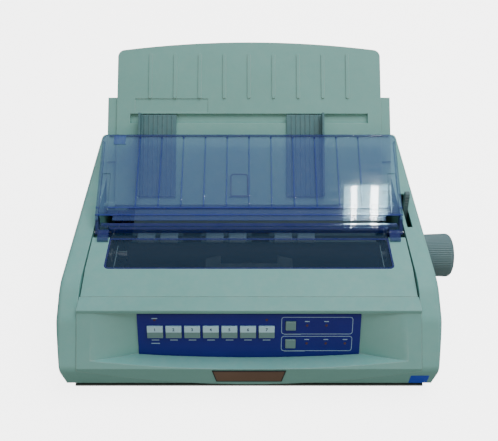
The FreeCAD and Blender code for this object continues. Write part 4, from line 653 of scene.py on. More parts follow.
def merged_copy(node: str) -> bmesh.types.BMesh:
    """Copies a CAD node's mesh, in metres, and merges its loose triangles.

    Args:
        node: The CAD node.

    Returns:
        The copy.
    """
    mesh = bmesh.new()
    mesh.from_mesh(frame["nodes"][node].data)
    bmesh.ops.remove_doubles(mesh, verts=mesh.verts, dist=MERGE_DISTANCE)
    bmesh.ops.dissolve_limit(mesh, angle_limit=math.radians(FLAT_ANGLE), verts=mesh.verts, edges=mesh.edges)
    return mesh


@dataclass(frozen=True)
class SideSpread:
    """Opens the window out sideways and rounds its front corners more, in millimetres.

    Attributes:
        old_half: Its half width in the CAD.
        new_half: Its half width in the photograph.
        corner: Radius of its front corners in the CAD.
        growth: How many times larger they become.
        arc_gap: How far a corner's vertices may lie off its arc.
        arc_end: How far they may lie past the arc's ends.
        margin: How far outside the half width still counts as the window.
    """

    old_half: float
    new_half: float
    corner: float = 3.0
    growth: float = 1.8
    arc_gap: float = 0.4
    arc_end: float = 0.15
    margin: float = 0.6

    def round_corners(self, mesh: bmesh.types.BMesh) -> None:
        """Moves the vertices of the front corners' arcs away from the corners.

        Args:
            mesh: The bmesh, in metres.
        """
        centre = Vector((self.corner, self.corner))
        for vert in mesh.verts:
            point = WINDOW_FRAME.local(vert.co)
            inward = Vector((self.old_half - abs(point.x), point.y))
            off_arc = abs((inward - centre).length - self.corner)
            if max(inward) < self.corner + self.arc_end and off_arc < self.arc_gap:
                inward *= self.growth
                across = math.copysign(self.old_half - inward.x, point.x)
                vert.co = WINDOW_FRAME.matrix() @ Vector((across, inward.y, point.z))

    def move(self, mesh: bmesh.types.BMesh) -> None:
        """Rounds the corners and moves the vertices out.

        Args:
            mesh: The bmesh, in metres.
        """
        self.round_corners(mesh)
        shift = CASE_FRAME.shift * MM
        for vert in mesh.verts:
            if abs(vert.co.x - shift) < (self.old_half + self.margin) * MM:
                vert.co.x = shift + (vert.co.x - shift) * self.new_half / self.old_half


def soften(node: str, kind: Kind, width_mm: float, spread: SideSpread | None = None) -> None:
    """Replaces a CAD node with a copy whose edges are rounded.

    Args:
        node: The CAD node.
        kind: Its finish.
        width_mm: How wide its edges are rounded, in millimetres.
        spread: How its middle is moved out sideways, if it is.
    """
    mesh = merged_copy(node)
    if spread:
        spread.move(mesh)
    bevel_edges(mesh, sharp_edges(mesh), width_mm * MM)
    place_piece(finish_mesh(f"{node}_moulding", mesh), [kind], body_of_node(node), [node])


def block(mesh: bmesh.types.BMesh, x: Span, y: Span, z: Span, round_width: float) -> None:
    """Adds a block with rounded edges to a bmesh.

    Args:
        mesh: The bmesh.
        x: Where it starts and ends along X.
        y: The same along Y.
        z: The same along Z.
        round_width: How wide its edges are rounded.
    """
    middle = Vector(((x[0] + x[1]) / 2, (y[0] + y[1]) / 2, (z[0] + z[1]) / 2))
    size = (x[1] - x[0], y[1] - y[0], z[1] - z[0], 1)
    made = bmesh.ops.create_cube(mesh, size=1.0, matrix=Matrix.Translation(middle) @ Matrix.Diagonal(size))
    bevel_edges(mesh, list({edge for vert in made["verts"] for edge in vert.link_edges}), round_width)


def upright_sheet(mesh: bmesh.types.BMesh, x: Span, z: Span, y: float, corner: float) -> None:
    """Adds one upright face in the XZ plane with rounded corners."""
    middle = Matrix.Translation(((x[0] + x[1]) / 2, y, (z[0] + z[1]) / 2)) @ ON_END
    sheet_with_corners(mesh, middle @ Matrix.Diagonal((x[1] - x[0], z[1] - z[0], 1, 1)), corner)


@dataclass(frozen=True)
class Lamp:
    """One rectangular lamp.

    Attributes:
        name: Its name.
        place: Its middle, in metres.
        size: Its width and depth, in metres.
        power: Its power in watts.
        colour: Its colour.
        tilt: Degrees that it is turned from shining straight down towards the back.
        mirrored: Whether glossy surfaces show its reflection.
        lighting: Whether it lights matt surfaces.
    """

    name: str
    place: tuple[float, float, float]
    size: Span
    power: float
    colour: tuple[float, float, float] = (1.0, 1.0, 1.0)
    tilt: float = 0.0
    mirrored: bool = True
    lighting: bool = True


LAMPS = (
    Lamp("soft_box", place=(0.75, 0.35, 1.9), size=(1.7, 1.7), power=38.0, mirrored=False),
    Lamp("low_fill", place=(0.0, -1.9, 0.45), size=(2.0, 0.8), power=9.0, colour=(1.0, 0.6, 0.36), tilt=78.0,
         mirrored=False),
    Lamp("rear_fill", place=(0.0, 2.0, 0.8), size=(2.0, 1.0), power=12.0, colour=(1.0, 0.8, 0.66), tilt=-70.0,
         mirrored=False),
    Lamp("pane", place=(0.462, -0.178, 2.02), size=(0.178, 0.152), power=2.4, colour=(0.46, 0.88, 1.0),
         lighting=False),
    Lamp("left_tube", place=(0.408, -0.178, 2.0), size=(0.02, 0.146), power=1.6, lighting=False),
    Lamp("right_tube", place=(0.492, -0.178, 2.0), size=(0.028, 0.146), power=2.2, lighting=False),
)


@dataclass
class Studio:
    """The floor, the lights and the camera.

    Attributes:
        frame_px: Width of the photograph's frame in pixels.
        focal_px: Focal length in pixels of that frame.
        eye: Where the camera stands.
        tilt: Degrees that it looks down.
        floor_reach: How far the floor runs each way, in metres.
        floor_pale: The floor's colour as the camera sees it.
        floor_shade: Its faint unevenness.
        floor_thrown: The colour that it throws back onto the printer.
        floor_glow: Extra light that the camera alone sees on the floor.
        world_colour: The colour of the light from all sides.
        world_strength: How strong that light is.
    """

    frame_px: float = 498.0
    focal_px: float = 650.0
    eye: Vector = field(default_factory=lambda: Vector((-0.01595, -0.6014, 0.5639)))
    tilt: float = 38.0
    floor_reach: float = 40.0
    floor_pale: Colour = (0.93, 0.93, 0.93, 1.0)
    floor_shade: Colour = (0.9, 0.9, 0.9, 1.0)
    floor_thrown: Colour = (0.3, 0.3, 0.3, 1.0)
    floor_glow: float = 4.2
    world_colour: Colour = (0.95, 0.98, 1.0, 1.0)
    world_strength: float = 0.42

    def build(self) -> None:
        """Makes the camera, the floor, the world and the lights."""
        self.build_camera()
        self.build_floor()
        self.build_world()
        for lamp in LAMPS:
            self.hang_lamp(lamp)

    def build_camera(self) -> None:
        """Puts the camera where the photograph was taken from."""
        data = bpy.data.cameras.new("photo_camera")
        data.lens = self.focal_px / self.frame_px * data.sensor_width
        camera = bpy.data.objects.new("photo_camera", data)
        camera.location = self.eye
        camera.rotation_euler = (math.radians(90 - self.tilt), 0, 0)
        bpy.context.scene.collection.objects.link(camera)
        bpy.context.scene.camera = camera

    def build_floor(self) -> None:
        """Makes the pale floor, which throws back less light than the camera sees on it."""
        mesh = bmesh.new()
        bmesh.ops.create_grid(mesh, x_segments=1, y_segments=1, size=self.floor_reach)
        floor = finish_mesh("studio_floor", mesh)
        material, wires, shader, place = blank_material("studio_floor")
        seen = wires.add("LightPath").outputs["Is Camera Ray"]
        mottle = wires.add("TexNoise", {"Vector": place, "Scale": 3.0, "Detail": 2.0})
        pale = wires.blend(wires.spread(mottle.outputs["Fac"], (0.3, 0.7)), self.floor_pale, self.floor_shade)
        wires.feed(shader, "Base Color", wires.blend(seen, self.floor_thrown, pale))
        wires.feed(shader, "Emission Color", wires.blend(seen, BLACK, WHITE))
        shader.inputs["Emission Strength"].default_value = self.floor_glow
        shader.inputs["Roughness"].default_value = 0.9
        floor.data.materials.append(material)

    def build_world(self) -> None:
        """Lights the room evenly."""
        world = bpy.data.worlds.new("studio_world")
        world.use_nodes = True
        background = world.node_tree.nodes["Background"]
        background.inputs["Color"].default_value = self.world_colour
        background.inputs["Strength"].default_value = self.world_strength
        bpy.context.scene.world = world

    def hang_lamp(self, lamp: Lamp) -> None:
        """Hangs one rectangular lamp.

        Args:
            lamp: Its place, size and light.
        """
        data = bpy.data.lights.new(lamp.name, "AREA")
        data.shape = "RECTANGLE"
        data.size, data.size_y = lamp.size
        data.energy = lamp.power
        data.color = lamp.colour
        hung = bpy.data.objects.new(lamp.name, data)
        hung.location = lamp.place
        hung.rotation_euler = (math.radians(lamp.tilt), 0, 0)
        hung.visible_glossy = lamp.mirrored
        hung.visible_diffuse = lamp.lighting
        bpy.context.scene.collection.objects.link(hung)


@dataclass
class Casework:
    """The case, the bezel and the base.

    Attributes:
        case_round: Edge rounding of the upper case and the bezel, in millimetres.
        base_round: The same for the base.
        foot_round: The same for the feet.
    """

    case_round: float = 0.6
    base_round: float = 0.5
    foot_round: float = 1.0

    def build(self) -> None:
        """Softens the mouldings."""
        soften("upper_case", Kind.IVORY, self.case_round)
        soften("front_bezel", Kind.BEZEL, self.case_round)
        soften("base_case", Kind.BASE, self.base_round)
        soften("rubber_feet", Kind.FOOT, self.foot_round)


class Zone(IntEnum):
    """The parts of a clear moulding, by the material number of their faces."""

    SHEET = 0
    EDGE = 1
    RIB = 2


@dataclass
class ClearPart:
    """A clear moulding: see-through faces, and dark edges, ribs and rounded bars.

    Attributes:
        node: The CAD node.
        place: The frame in which its main sheet lies flat.
        face_kind: The finish of its sheet.
        round_width: Edge rounding in millimetres.
        sheet_top: Height of the sheet's upper face in that frame, in millimetres.
        rib_rise: How far its ribs stand above that face, or 0 where it has none.
        rib_end: How far up the sheet its ribs reach.
        spread: How its middle is moved out sideways, if it is.
        flatness: How nearly a face of the sheet lies flat, 1 being fully.
        rib_crown: Share of a rib's height that its top edges are rounded by.
        rib_foot: Share of its height above which a face belongs to a rib.
        rib_top: Share of its height above which an edge runs along its top.
        rib_skew: How far such an edge may run sideways, in millimetres.
        rib_least: How far it has to run up the sheet.
    """

    node: str
    place: DrawingFrame
    face_kind: Kind
    round_width: float
    sheet_top: float = 0.0
    rib_rise: float = 0.0
    rib_end: float = 0.0
    spread: SideSpread | None = None
    flatness: float = 0.97
    rib_crown: float = 0.45
    rib_foot: float = 0.3
    rib_top: float = 0.8
    rib_skew: float = 0.01
    rib_least: float = 20.0

    def build(self) -> None:
        """Rounds the moulding, its rib tops more, and tells faces, ribs and edges apart."""
        mesh = merged_copy(self.node)
        if self.spread:
            self.spread.move(mesh)
        crown = self.rib_rise * self.rib_crown * MM
        bevel_edges(mesh, [edge for edge in mesh.edges if self.on_rib_top(edge)], crown, segments=3)
        bevel_edges(mesh, sharp_edges(mesh), self.round_width * MM)
        for one in mesh.faces:
            one.material_index = self.zone(one)
        piece = finish_mesh(f"{self.node}_moulding", mesh)
        place_piece(piece, [self.face_kind, Kind.CLEAR_EDGE, Kind.CLEAR_RIB], body_of_node(self.node),
                    [self.node])

    def zone(self, face: bmesh.types.BMFace) -> Zone:
        """Tells the moulding's faces apart.

        Args:
            face: One face.

        Returns:
            The part that it belongs to.
        """
        middle = self.place.local(face.calc_center_median())
        if self.rib_rise > 0 and middle.z > self.sheet_top + self.rib_rise * self.rib_foot:
            return Zone.RIB if middle.y < self.rib_end else Zone.EDGE
        normal = self.place.turn().inverted().to_3x3() @ face.normal
        return Zone.SHEET if abs(normal.z) > self.flatness else Zone.EDGE

    def on_rib_top(self, edge: bmesh.types.BMEdge) -> bool:
        """Tells whether an edge runs up the sheet along the top of a rib.

        Args:
            edge: The edge.

        Returns:
            Whether it does.
        """
        one, two = (self.place.local(vert.co) for vert in edge.verts)
        high = self.rib_rise > 0 and min(one.z, two.z) > self.sheet_top + self.rib_rise * self.rib_top
        return high and abs(one.x - two.x) < self.rib_skew and abs(one.y - two.y) > self.rib_least


@dataclass
class AccessCover:
    """The hinged cover and its clear window.

    Attributes:
        cover_round: Edge rounding of the cover, in millimetres.
        window_round: Edge rounding of the window.
        spread: How the window is opened out sideways to the photograph's width.
        slope: The plane of the cover's rear part.
        bead: Width of the dark bead round the window.
        bead_depth: How deep the bead reaches below the slope.
        reach: How far the window runs up the slope.
        corner: Radius of its front corners.
        wall_place: Where its inner wall edges stand, from the middle.
        wall_drop: How far below the slope they lie.
        wall_edge: Their width.
        wall_round: Share of that width that they are rounded by.
        wall_end: How far they end before the window's ends.
        apron_half: Half width of the apron behind the hinge bar.
        apron_y: Where the apron lies along the flap's slope.
        apron_z: Where it lies above that slope.
        apron_round: Its edge rounding.
    """

    cover_round: float = 0.8
    window_round: float = 0.5
    spread: SideSpread = SideSpread(149.5, 156.4)
    slope: DrawingFrame = WINDOW_FRAME
    bead: float = 2.1
    bead_depth: float = 0.5
    reach: float = 46.0
    corner: float = 5.4
    wall_place: float = 147.5
    wall_drop: float = 9.0
    wall_edge: float = 0.9
    wall_round: float = 0.3
    wall_end: float = 3.0
    apron_half: float = 168.0
    apron_y: Span = (4.0, 8.2)
    apron_z: Span = (8.0, 8.9)
    apron_round: float = 0.3

    def build(self) -> None:
        """Makes the apron behind the hinge bar, the cover, the window, its bead and its inner wall edges."""
        self.build_apron()
        soften("access_cover", Kind.IVORY, self.cover_round, spread=self.spread)
        ClearPart("cover_window", self.slope, Kind.CLEAR_WINDOW, self.window_round, spread=self.spread).build()
        self.build_bead()
        self.build_wall_edges()

    def build_apron(self) -> None:
        """Makes the narrow strip that runs on behind the hinge bar."""
        mesh = bmesh.new()
        block(mesh, (-self.apron_half, self.apron_half), self.apron_y, self.apron_z, self.apron_round)
        place_piece(finish_mesh("hinge_apron", mesh, FLAP_FRAME), [Kind.CLEAR_EDGE], "cover")

    def build_bead(self) -> None:
        """Makes the dark line round the window from a rounded sheet that is inset."""
        mesh = bmesh.new()
        size = Matrix.Diagonal((self.spread.new_half * 2, self.reach, 1, 1))
        middle = Matrix.Translation((0, self.reach / 2, 0))
        sheet_with_corners(mesh, middle @ size, self.corner, segments=5, high=self.reach / 2)
        keep_outlines(mesh, self.bead)
        bmesh.ops.solidify(mesh, geom=mesh.faces, thickness=self.bead_depth)
        place_piece(finish_mesh("window_bead", mesh, self.slope), [Kind.CLEAR_EDGE], "cover")

    def build_wall_edges(self) -> None:
        """Makes the pale lower edges of the window's side walls."""
        mesh = bmesh.new()
        for side in (-1, 1):
            place = side * self.wall_place
            across = (place - self.wall_edge / 2, place + self.wall_edge / 2)
            along = (self.wall_end, self.reach - self.wall_end)
            deep = (-self.wall_drop, -self.wall_drop + self.wall_edge)
            block(mesh, across, along, deep, self.wall_edge * self.wall_round)
        place_piece(finish_mesh("window_wall_edges", mesh, self.slope), [Kind.CLEAR_LIP], "cover")


@dataclass
class ExitFlap:
    """The clear exit flap with its ribs, the pegs at the rib ends and its two side panes.

    Attributes:
        sheet_top: Height of its sheet's upper face in its frame, in millimetres.
        rib_rise: How far its ribs stand above that face.
        edge_round: Edge rounding.
        rib_pitch: From rib to rib.
        rib_count: How many ribs it has.
        peg_radius: Radius of the pegs.
        peg_height: Their height.
        peg_taper: Their top radius as a share of the lower one.
        peg_sides: How many sides they have.
        peg_round: Rounding of their rims.
        peg_place: How far up the sheet they stand.
        pane_x: Where the side panes lie, from the middle outwards.
        pane_y: How far up the sheet they run.
        pane_z: Where they lie above it.
        pane_round: Edge rounding of the panes.
    """

    sheet_top: float = 10.5
    rib_rise: float = 1.4
    edge_round: float = 0.35
    rib_pitch: float = 26.0
    rib_count: int = 11
    peg_radius: float = 1.3
    peg_height: float = 1.7
    peg_taper: float = 0.8
    peg_sides: int = 14
    peg_round: float = 0.2
    peg_place: float = 117.5
    pane_x: Span = (162.2, 171.6)
    pane_y: Span = (20.5, 70.1)
    pane_z: Span = (9.0, 9.9)
    pane_round: float = 0.2

    def build(self) -> None:
        """Makes the flap, its panes and its pegs."""
        ClearPart("exit_flap", FLAP_FRAME, Kind.CLEAR, self.edge_round, self.sheet_top, self.rib_rise,
                  self.peg_place).build()
        self.build_panes()
        self.build_pegs()

    def build_pegs(self) -> None:
        """Makes the low pegs at the rib ends."""
        mesh = bmesh.new()
        for number in range(self.rib_count):
            x = (number - self.rib_count // 2) * self.rib_pitch
            middle = Matrix.Translation((x, self.peg_place, self.sheet_top + self.peg_height / 2))
            made = bmesh.ops.create_cone(mesh, cap_ends=True, segments=self.peg_sides, radius1=self.peg_radius,
                                         radius2=self.peg_radius * self.peg_taper, depth=self.peg_height,
                                         matrix=middle)
            rim = {edge for vert in made["verts"] for edge in vert.link_edges}
            bevel_edges(mesh, list(rim), self.peg_round, segments=1)
        place_piece(finish_mesh("flap_pegs", mesh, FLAP_FRAME), [Kind.CLEAR_EDGE], "flap")

    def build_panes(self) -> None:
        """Makes the thin panes that close the flap's side openings."""
        mesh = bmesh.new()
        near, far = self.pane_x
        for across in ((-far, -near), (near, far)):
            block(mesh, across, self.pane_y, self.pane_z, self.pane_round)
        place_piece(finish_mesh("flap_side_panes", mesh, FLAP_FRAME), [Kind.CLEAR], "flap")


@dataclass
class SheetGuide:
    """The folding sheet guide with its two edge guides.

    Attributes:
        panel_round: Edge rounding of its tall panel, in millimetres.
        frame_round: The same for the frame behind it.
        edge_guide_round: The same for the edge guides.
        tab_x: Where the arch on its middle tab lies across.
        tab_y: Where the arch lies up the slope.
        tab_corner: Radius of the arch's upper corners.
        tab_line: Width of the arch's line.
        tab_depth: How thick that line is.
        tab_top: Height of its upper face.
    """

    panel_round: float = 0.5
    frame_round: float = 0.8
    edge_guide_round: float = 0.25
    tab_x: Span = (-22.6, -1.0)
    tab_y: Span = (10.0, 38.0)
    tab_corner: float = 4.0
    tab_line: float = 1.5
    tab_depth: float = 0.6
    tab_top: float = 1.7

    def build(self) -> None:
        """Makes the arch on the middle tab and softens the mouldings."""
        self.build_tab_outline()
        soften("sheet_guide_panel", Kind.GUIDE, self.panel_round)
        soften("sheet_guide_frame", Kind.GUIDE, self.frame_round)
        for side in ("left", "right"):
            soften(f"edge_guide_{side}", Kind.EDGE_GUIDE, self.edge_guide_round)

    def build_tab_outline(self) -> None:
        """Makes the raised arch round the middle tab from a rounded sheet that is inset."""
        mesh = bmesh.new()
        middle = Matrix.Translation((sum(self.tab_x) / 2, sum(self.tab_y) / 2, self.tab_top))
        size = Matrix.Diagonal((self.tab_x[1] - self.tab_x[0], self.tab_y[1] - self.tab_y[0], 1, 1))
        sheet_with_corners(mesh, middle @ size, self.tab_corner, low=sum(self.tab_y) / 2)
        keep_outlines(mesh, self.tab_line)
        bmesh.ops.solidify(mesh, geom=mesh.faces, thickness=self.tab_depth)
        place_piece(finish_mesh("guide_tab_arch", mesh, GUIDE_FRAME), [Kind.LEVER], body_of_node("sheet_guide_panel"))


@dataclass(frozen=True)
class KeySpot:
    """One button's place on the panel, in the panel's millimetres.

    Attributes:
        node: Its CAD node.
        x: Its middle along X.
        drop: Its middle down the slope.
        two_tone: Whether its upper half is painted pale as a painted highlight and its lower half grey as painted
            shade.
        face: Where its face lies, the panel's back being 0.
    """

    node: str
    x: float
    drop: float
    two_tone: bool
    face: float = -3.2


@dataclass
class ControlPanel:
    """The blue panel, its keys, its outlines, dashes and signal lights, in the panel's millimetres.

    Attributes:
        wide_keys: How many wide keys it has.
        first_key: Middle of the first wide key along X.
        key_pitch: From one wide key to the next.
        key_drop: Their middle, down the slope.
        key_height: Their height up the slope.
        mode_key_x: Middle of the square keys along X.
        mode_key_drops: Their middles, down the slope.
        cap_round: Edge rounding of all keys.
        cut_gap: How near its middle line, in metres, a key's vertex counts as on it.
        panel_round: Edge rounding of the panel.
        lens_round: Edge rounding of the lights.
        panel_face: Where the panel's face lies.
        print_depth: How thick the print is.
        outline_x: Where the two outlines lie across.
        outline_tops: Their upper edges.
        outline_drops: Their heights.
        outline_line: Width of their line.
        outline_corner: Radius of their corners.
        dash_half: Half height of a dash.
        dash_corner: Radius of a dash's corners.
        key_dash: Gap and width of the dash below each wide key.
        upper_dash: Gap and width of the dash above the first key.
        lower_dash: Drop and width of a second dash below the first key.
        foot_dashes: Place from the outlines' left edge, height on the slope and width of the dashes below them.
        digit_height: Size of the numbers.
        digit_rise: How far above the middle of its key a number stands.
        digit_bold: How far a number's outline is widened.
        digit_weld: Vertices of a number nearer than this are joined.
        first_light: Middle of the first light in the outlines.
        light_pitch: From one light to the next.
        light_rows: Height of the dashes above each row of lights, and how many there are.
        light_dash: Their width.
    """

    wide_keys: int = 7
    first_key: float = -97.5
    key_pitch: float = 19.3
    key_drop: float = 20.4
    key_height: float = 13.6
    mode_key_x: float = 43.2
    mode_key_drops: Span = (13.2, 34.2)
    cap_round: float = 0.9
    cut_gap: float = 0.000001
    panel_round: float = 0.15
    lens_round: float = 0.25
    panel_face: float = -1.4
    print_depth: float = 0.06
    outline_x: Span = (33.5, 107.5)
    outline_tops: Span = (-3.4, -25.6)
    outline_drops: Span = (20.0, 17.6)
    outline_line: float = 0.55
    outline_corner: float = 3.0
    dash_half: float = 0.45
    dash_corner: float = 0.3
    key_dash: Span = (3.0, 8.0)
    upper_dash: Span = (8.5, 6.0)
    lower_dash: Span = (4.0, 9.0)
    foot_dashes: tuple[tuple[float, float, float], ...] = ((12.0, -23.4, 18.0), (14.0, -43.2, 22.0))
    digit_height: float = 4.6
    digit_rise: float = 3.0
    digit_bold: float = 0.12
    digit_weld: float = 0.001
    first_light: float = 60.16
    light_pitch: float = 20.0
    light_rows: tuple[tuple[float, int], ...] = ((-8.6, 2), (-29.6, 3))
    light_dash: float = 5.0

    def spots(self) -> list[KeySpot]:
        """Lists every button.

        Returns:
            The wide keys from left to right, then the square ones from above.
        """
        wide = [KeySpot(f"wide_key_{number + 1}", self.first_key + number * self.key_pitch, self.key_drop,
                        two_tone=True) for number in range(self.wide_keys)]
        square = [KeySpot(f"square_key_{number}", self.mode_key_x, drop, two_tone=False)
                  for number, drop in enumerate(self.mode_key_drops, 1)]
        return wide + square

    def build(self) -> None:
        """Makes the keys and the print, and dresses the panel."""
        soften("control_panel", Kind.PANEL, self.panel_round)
        soften("panel_lights", Kind.LENS, self.lens_round)
        for spot in self.spots():
            self.build_key(spot)
        for number, spot in enumerate(self.spots()[:self.wide_keys], 1):
            self.build_digit(str(number), spot)
        self.build_print()

    def build_key(self, spot: KeySpot) -> None:
        """Makes one key: a rounded grey cap, whose upper half is painted pale as a painted highlight, and whose lower
        grey half stands for painted shade, where its halves are painted.

        Args:
            spot: The key.
        """
        mesh = merged_copy(spot.node)
        bevel_edges(mesh, sharp_edges(mesh), self.cap_round * MM, segments=3)
        middle = PANEL_FRAME.matrix() @ Vector((spot.x, 0, -spot.drop))
        slope = PANEL_FRAME.turn().to_3x3() @ Vector((0, 0, 1))
        everything = list(mesh.verts) + list(mesh.edges) + list(mesh.faces)
        bmesh.ops.bisect_plane(mesh, geom=everything, plane_co=middle, plane_no=slope, dist=self.cut_gap)
        # On wide keys the upper half is painted pale as a painted highlight and the lower half grey as painted shade.
        for one in mesh.faces:
            upper = PANEL_FRAME.local(one.calc_center_median()).z > -spot.drop
            one.material_index = 0 if upper and spot.two_tone else 1
        piece = finish_mesh(f"{spot.node}_cap", mesh)
        place_piece(piece, [Kind.KEY_LIGHT, Kind.KEY_DARK], body_of_node(spot.node), [spot.node])

    def build_digit(self, text: str, spot: KeySpot) -> None:
        """Prints one plain number on a key's pale half.

        Args:
            text: The number.
            spot: The key.
        """
        curve = bpy.data.curves.new(f"{spot.node}_number_line", "FONT")
        curve.body = text
        curve.size = self.digit_height
        curve.align_x = "CENTER"
        curve.align_y = "CENTER"
        curve.extrude = self.print_depth / 2
        curve.offset = self.digit_bold
        holder = bpy.data.objects.new(f"{spot.node}_number_line", curve)
        bpy.context.scene.collection.objects.link(holder)
        data = bpy.data.meshes.new_from_object(holder.evaluated_get(bpy.context.evaluated_depsgraph_get()))
        bpy.data.objects.remove(holder)
        mesh = bmesh.new()
        mesh.from_mesh(data)
        bmesh.ops.remove_doubles(mesh, verts=mesh.verts, dist=self.digit_weld)
        place = Matrix.Translation((spot.x, spot.face - self.print_depth / 4, -spot.drop + self.digit_rise))
        bmesh.ops.transform(mesh, matrix=place @ ON_END, verts=mesh.verts)
        piece = finish_mesh(f"{spot.node}_number", mesh, PANEL_FRAME)
        place_piece(piece, [Kind.INK], body_of_node(spot.node))

    def build_print(self) -> None:
        """Prints the two outlines and the short dashes on the panel."""
        mesh = bmesh.new()
        face = self.panel_face - self.print_depth
        for top, drop in zip(self.outline_tops, self.outline_drops):
            upright_sheet(mesh, self.outline_x, (top - drop, top), face, self.outline_corner)
        keep_outlines(mesh, self.outline_line)
        for x, z, width in self.dashes():
            upright_sheet(mesh, (x - width / 2, x + width / 2), (z - self.dash_half, z + self.dash_half), face,
                          self.dash_corner)
        bmesh.ops.solidify(mesh, geom=mesh.faces, thickness=self.print_depth)
        place_piece(finish_mesh("panel_print", mesh, PANEL_FRAME), [Kind.PRINT], "case")

    def dashes(self) -> list[tuple[float, float, float]]:
        """Lists the dashes.

        Returns:
            Each one's middle along X, height on the slope and width.
        """
        key_half = self.key_height / 2
        below = -self.key_drop - key_half - self.key_dash[0]
        marks = [(spot.x, below, self.key_dash[1]) for spot in self.spots()[:self.wide_keys]]
        marks.append((self.first_key, -self.key_drop + key_half + self.upper_dash[0], self.upper_dash[1]))
        marks.append((self.first_key, below - self.lower_dash[0], self.lower_dash[1]))
        for height, count in self.light_rows:
            lights = (self.first_light + number * self.light_pitch for number in range(count))
            marks += [(light, height, self.light_dash) for light in lights]
        return marks + [(self.outline_x[0] + x, height, width) for x, height, width in self.foot_dashes]


@dataclass
class SmallPlates:
    """The bare name plate with its rim, and the bare corner label, in millimetres.

    Attributes:
        plate_round: Edge rounding of the name plate.
        label_round: The same for the label.
        rim: Width of the name plate's rim.
        sunk: How far the plate's face lies below its rim.
        facing: How nearly that face looks forwards, 1 being fully.
    """

    plate_round: float = 0.3
    label_round: float = 0.1
    rim: float = 0.9
    sunk: float = 0.1
    facing: float = 0.99

    def build(self) -> None:
        """Sinks the plate's face into its rim and softens the label."""
        mesh = merged_copy("name_plate")
        bevel_edges(mesh, sharp_edges(mesh), self.plate_round * MM)
        for one in mesh.faces:
            one.material_index = 1
        front = max((one for one in mesh.faces if one.normal.y < -self.facing), key=lambda one: one.calc_area())
        bmesh.ops.inset_region(mesh, faces=[front], thickness=self.rim * MM, depth=-self.sunk * MM,
                               use_even_offset=True)
        front.material_index = 0
        place_piece(finish_mesh("name_plate_face", mesh), [Kind.PLATE, Kind.PLATE_RIM], "case",
                    ["name_plate"])
        soften("corner_label", Kind.LABEL, self.label_round)


@dataclass
class PlatenKnob:
    """The fluted knob on the right.

    Attributes:
        near: Where it starts along X, in millimetres from the middle of the case.
        reach: Its length.
        radius: Its largest radius.
        flutes: How many flutes run round it.
        flute_points: Points of its ring per flute, the second half of them being the deep ones.
        flute_depth: Their depth.
        nose: Radius of its rounded end.
        nose_steps: How many steps that end is rounded in.
        waist_share: Its radius next to the case, as a share of the largest.
        waist_step: Length and height of the step that follows.
        rim_share: Radius of the rim round the dish in its end, as a share of the largest.
        dish_share: The same for the dish, at its wall.
        dish_end: The same for the middle of the dish.
        dish_depth: Depth of the dish.
        smooth_angle: Edges flatter than this many degrees are shaded smooth.
    """

    near: float = 199.4
    reach: float = 31.5
    radius: float = 25.0
    flutes: int = 72
    flute_points: int = 4
    flute_depth: float = 0.55
    nose: float = 5.0
    nose_steps: int = 5
    waist_share: float = 0.94
    waist_step: Span = (1.2, 0.4)
    rim_share: float = 0.62
    dish_share: float = 0.56
    dish_end: float = 0.1
    dish_depth: float = 1.0
    smooth_angle: float = 40.0

    def profile(self) -> list[Span]:
        """Lists the knob's steps.

        Returns:
            Places along X and radii, from the case outwards to the dish in its end.
        """
        waist, start = self.radius * self.waist_share, self.reach - self.nose
        points = [(0.0, waist), (self.waist_step[0], waist + self.waist_step[1]), (start, self.radius)]
        for step in range(1, self.nose_steps + 1):
            turn = math.radians(90 * step / self.nose_steps)
            points.append((start + math.sin(turn) * self.nose, self.radius - self.nose + math.cos(turn) * self.nose))
        dish = self.reach - self.dish_depth
        return points + [(self.reach, self.radius * self.rim_share), (dish, self.radius * self.dish_share),
                         (dish, self.radius * self.dish_end)]

    def build(self) -> None:
        """Pushes a fluted ring out along X, step by step, and closes both ends."""
        mesh = bmesh.new()
        first = self.profile()[0]
        count = self.flutes * self.flute_points
        ring = bmesh.ops.create_circle(mesh, cap_ends=False, segments=count, radius=first[1])["verts"]
        bmesh.ops.rotate(mesh, cent=(0, 0, 0), matrix=Matrix.Rotation(math.radians(90), 3, "Y"), verts=ring)
        edges = list(mesh.edges)
        for number, vert in enumerate(ring):
            if number % self.flute_points >= self.flute_points / 2:
                vert.co *= 1 - self.flute_depth / self.radius
        bmesh.ops.holes_fill(mesh, edges=edges, sides=0)
        before = first
        for after in self.profile()[1:]:
            pushed = bmesh.ops.extrude_edge_only(mesh, edges=edges)["geom"]
            verts = [item for item in pushed if isinstance(item, bmesh.types.BMVert)]
            edges = [item for item in pushed if isinstance(item, bmesh.types.BMEdge)]
            share = after[1] / before[1]
            bmesh.ops.scale(mesh, vec=(1, share, share), verts=verts)
            bmesh.ops.translate(mesh, vec=(after[0] - before[0], 0, 0), verts=verts)
            before = after
        bmesh.ops.holes_fill(mesh, edges=edges, sides=0)
        bmesh.ops.translate(mesh, vec=(self.near, 0, 0), verts=mesh.verts)
        knob = finish_mesh("platen_knob_fluted", mesh, KNOB_FRAME, self.smooth_angle)
        place_piece(knob, [Kind.KNOB], "platen", ["platen_knob"])


@dataclass
class PaperLever:
    """The paper lever with its ribbed grip.

    Attributes:
        edge_round: Its edge rounding, in millimetres.
    """

    edge_round: float = 0.5

    def build(self) -> None:
        """Softens the lever."""
        soften("paper_lever", Kind.LEVER, self.edge_round)


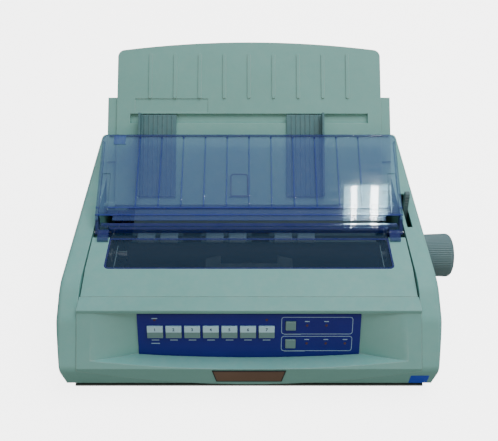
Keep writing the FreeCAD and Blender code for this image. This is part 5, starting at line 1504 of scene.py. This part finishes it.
@dataclass
class Mechanism:
    """Bail, rollers, carriage and the metal parts inside.

    Attributes:
        roller_round: Edge rounding of the bail's rollers, in millimetres.
        block_round: The same for the bail, the carriage and what it carries.
        pan_round: The same for the paper pan.
        finishes: What the nodes that keep their CAD shape wear.
    """

    roller_round: float = 0.6
    block_round: float = 0.5
    pan_round: float = 0.2
    finishes: dict[Kind, tuple[str, ...]] = field(default_factory=lambda: {
        Kind.PLATEN: ("platen_rubber",),
        Kind.BELT: ("carriage_belt",),
        Kind.BRIGHT: ("platen_shaft", "front_rail", "rear_rail", "hinge_pins", "case_screws"),
        Kind.PLATED: ("side_frame_left", "side_frame_right"),
        Kind.MOTOR: ("feed_motor", "carriage_motor"),
        Kind.GEAR: ("platen_gear", "idler_gear", "idler_pulley", "platen_bushes", "ribbon_knob"),
        Kind.BRASS: ("feed_pinion", "drive_pulley"),
    })

    def build(self) -> None:
        """Softens what shows through the window and dresses the rest."""
        soften("bail_rollers", Kind.ROLLER, self.roller_round)
        soften("paper_bail", Kind.DARK, self.block_round)
        for node in ("ribbon_cartridge", "carriage"):
            soften(node, Kind.DARK, self.block_round)
        soften("print_head", Kind.HEAD, self.block_round)
        soften("paper_pan", Kind.PAN, self.pan_round)
        dress_nodes(self.finishes)


@dataclass
class Electrics:
    """Boards, transformer, switch, inlet and ports.

    Attributes:
        port_round: Edge rounding of the switch, the inlet and the ports, in millimetres.
    """

    port_round: float = 0.3

    def build(self) -> None:
        """Softens what shows at the back and dresses the rest."""
        for node in ("power_switch", "power_inlet", "parallel_port", "usb_port"):
            soften(node, Kind.DARK, self.port_round)
        dress_nodes({Kind.DARK: ("switch_housing",), Kind.MOTOR: ("transformer",),
                     Kind.BOARD: ("main_board", "panel_board")})


def dress_nodes(finishes: dict[Kind, tuple[str, ...]]) -> None:
    """Gives the CAD nodes that keep their shape their finishes.

    Args:
        finishes: The nodes that wear each finish.
    """
    for kind, nodes in finishes.items():
        for node in nodes:
            data = frame["nodes"][node].data
            data.materials.clear()
            data.materials.append(MATERIALS[kind])
            LOG.info("%s wears %s", node, kind.value.name)


def main() -> None:
    """Builds the printer's pieces in order."""
    logging.basicConfig(level=logging.INFO, format="%(message)s")
    for part in (Studio(), Casework(), AccessCover(), ExitFlap(), SheetGuide(), ControlPanel(), SmallPlates(),
                 PlatenKnob(), PaperLever(), Mechanism(), Electrics()):
        part.build()


if __name__ == "__main__":
    main()
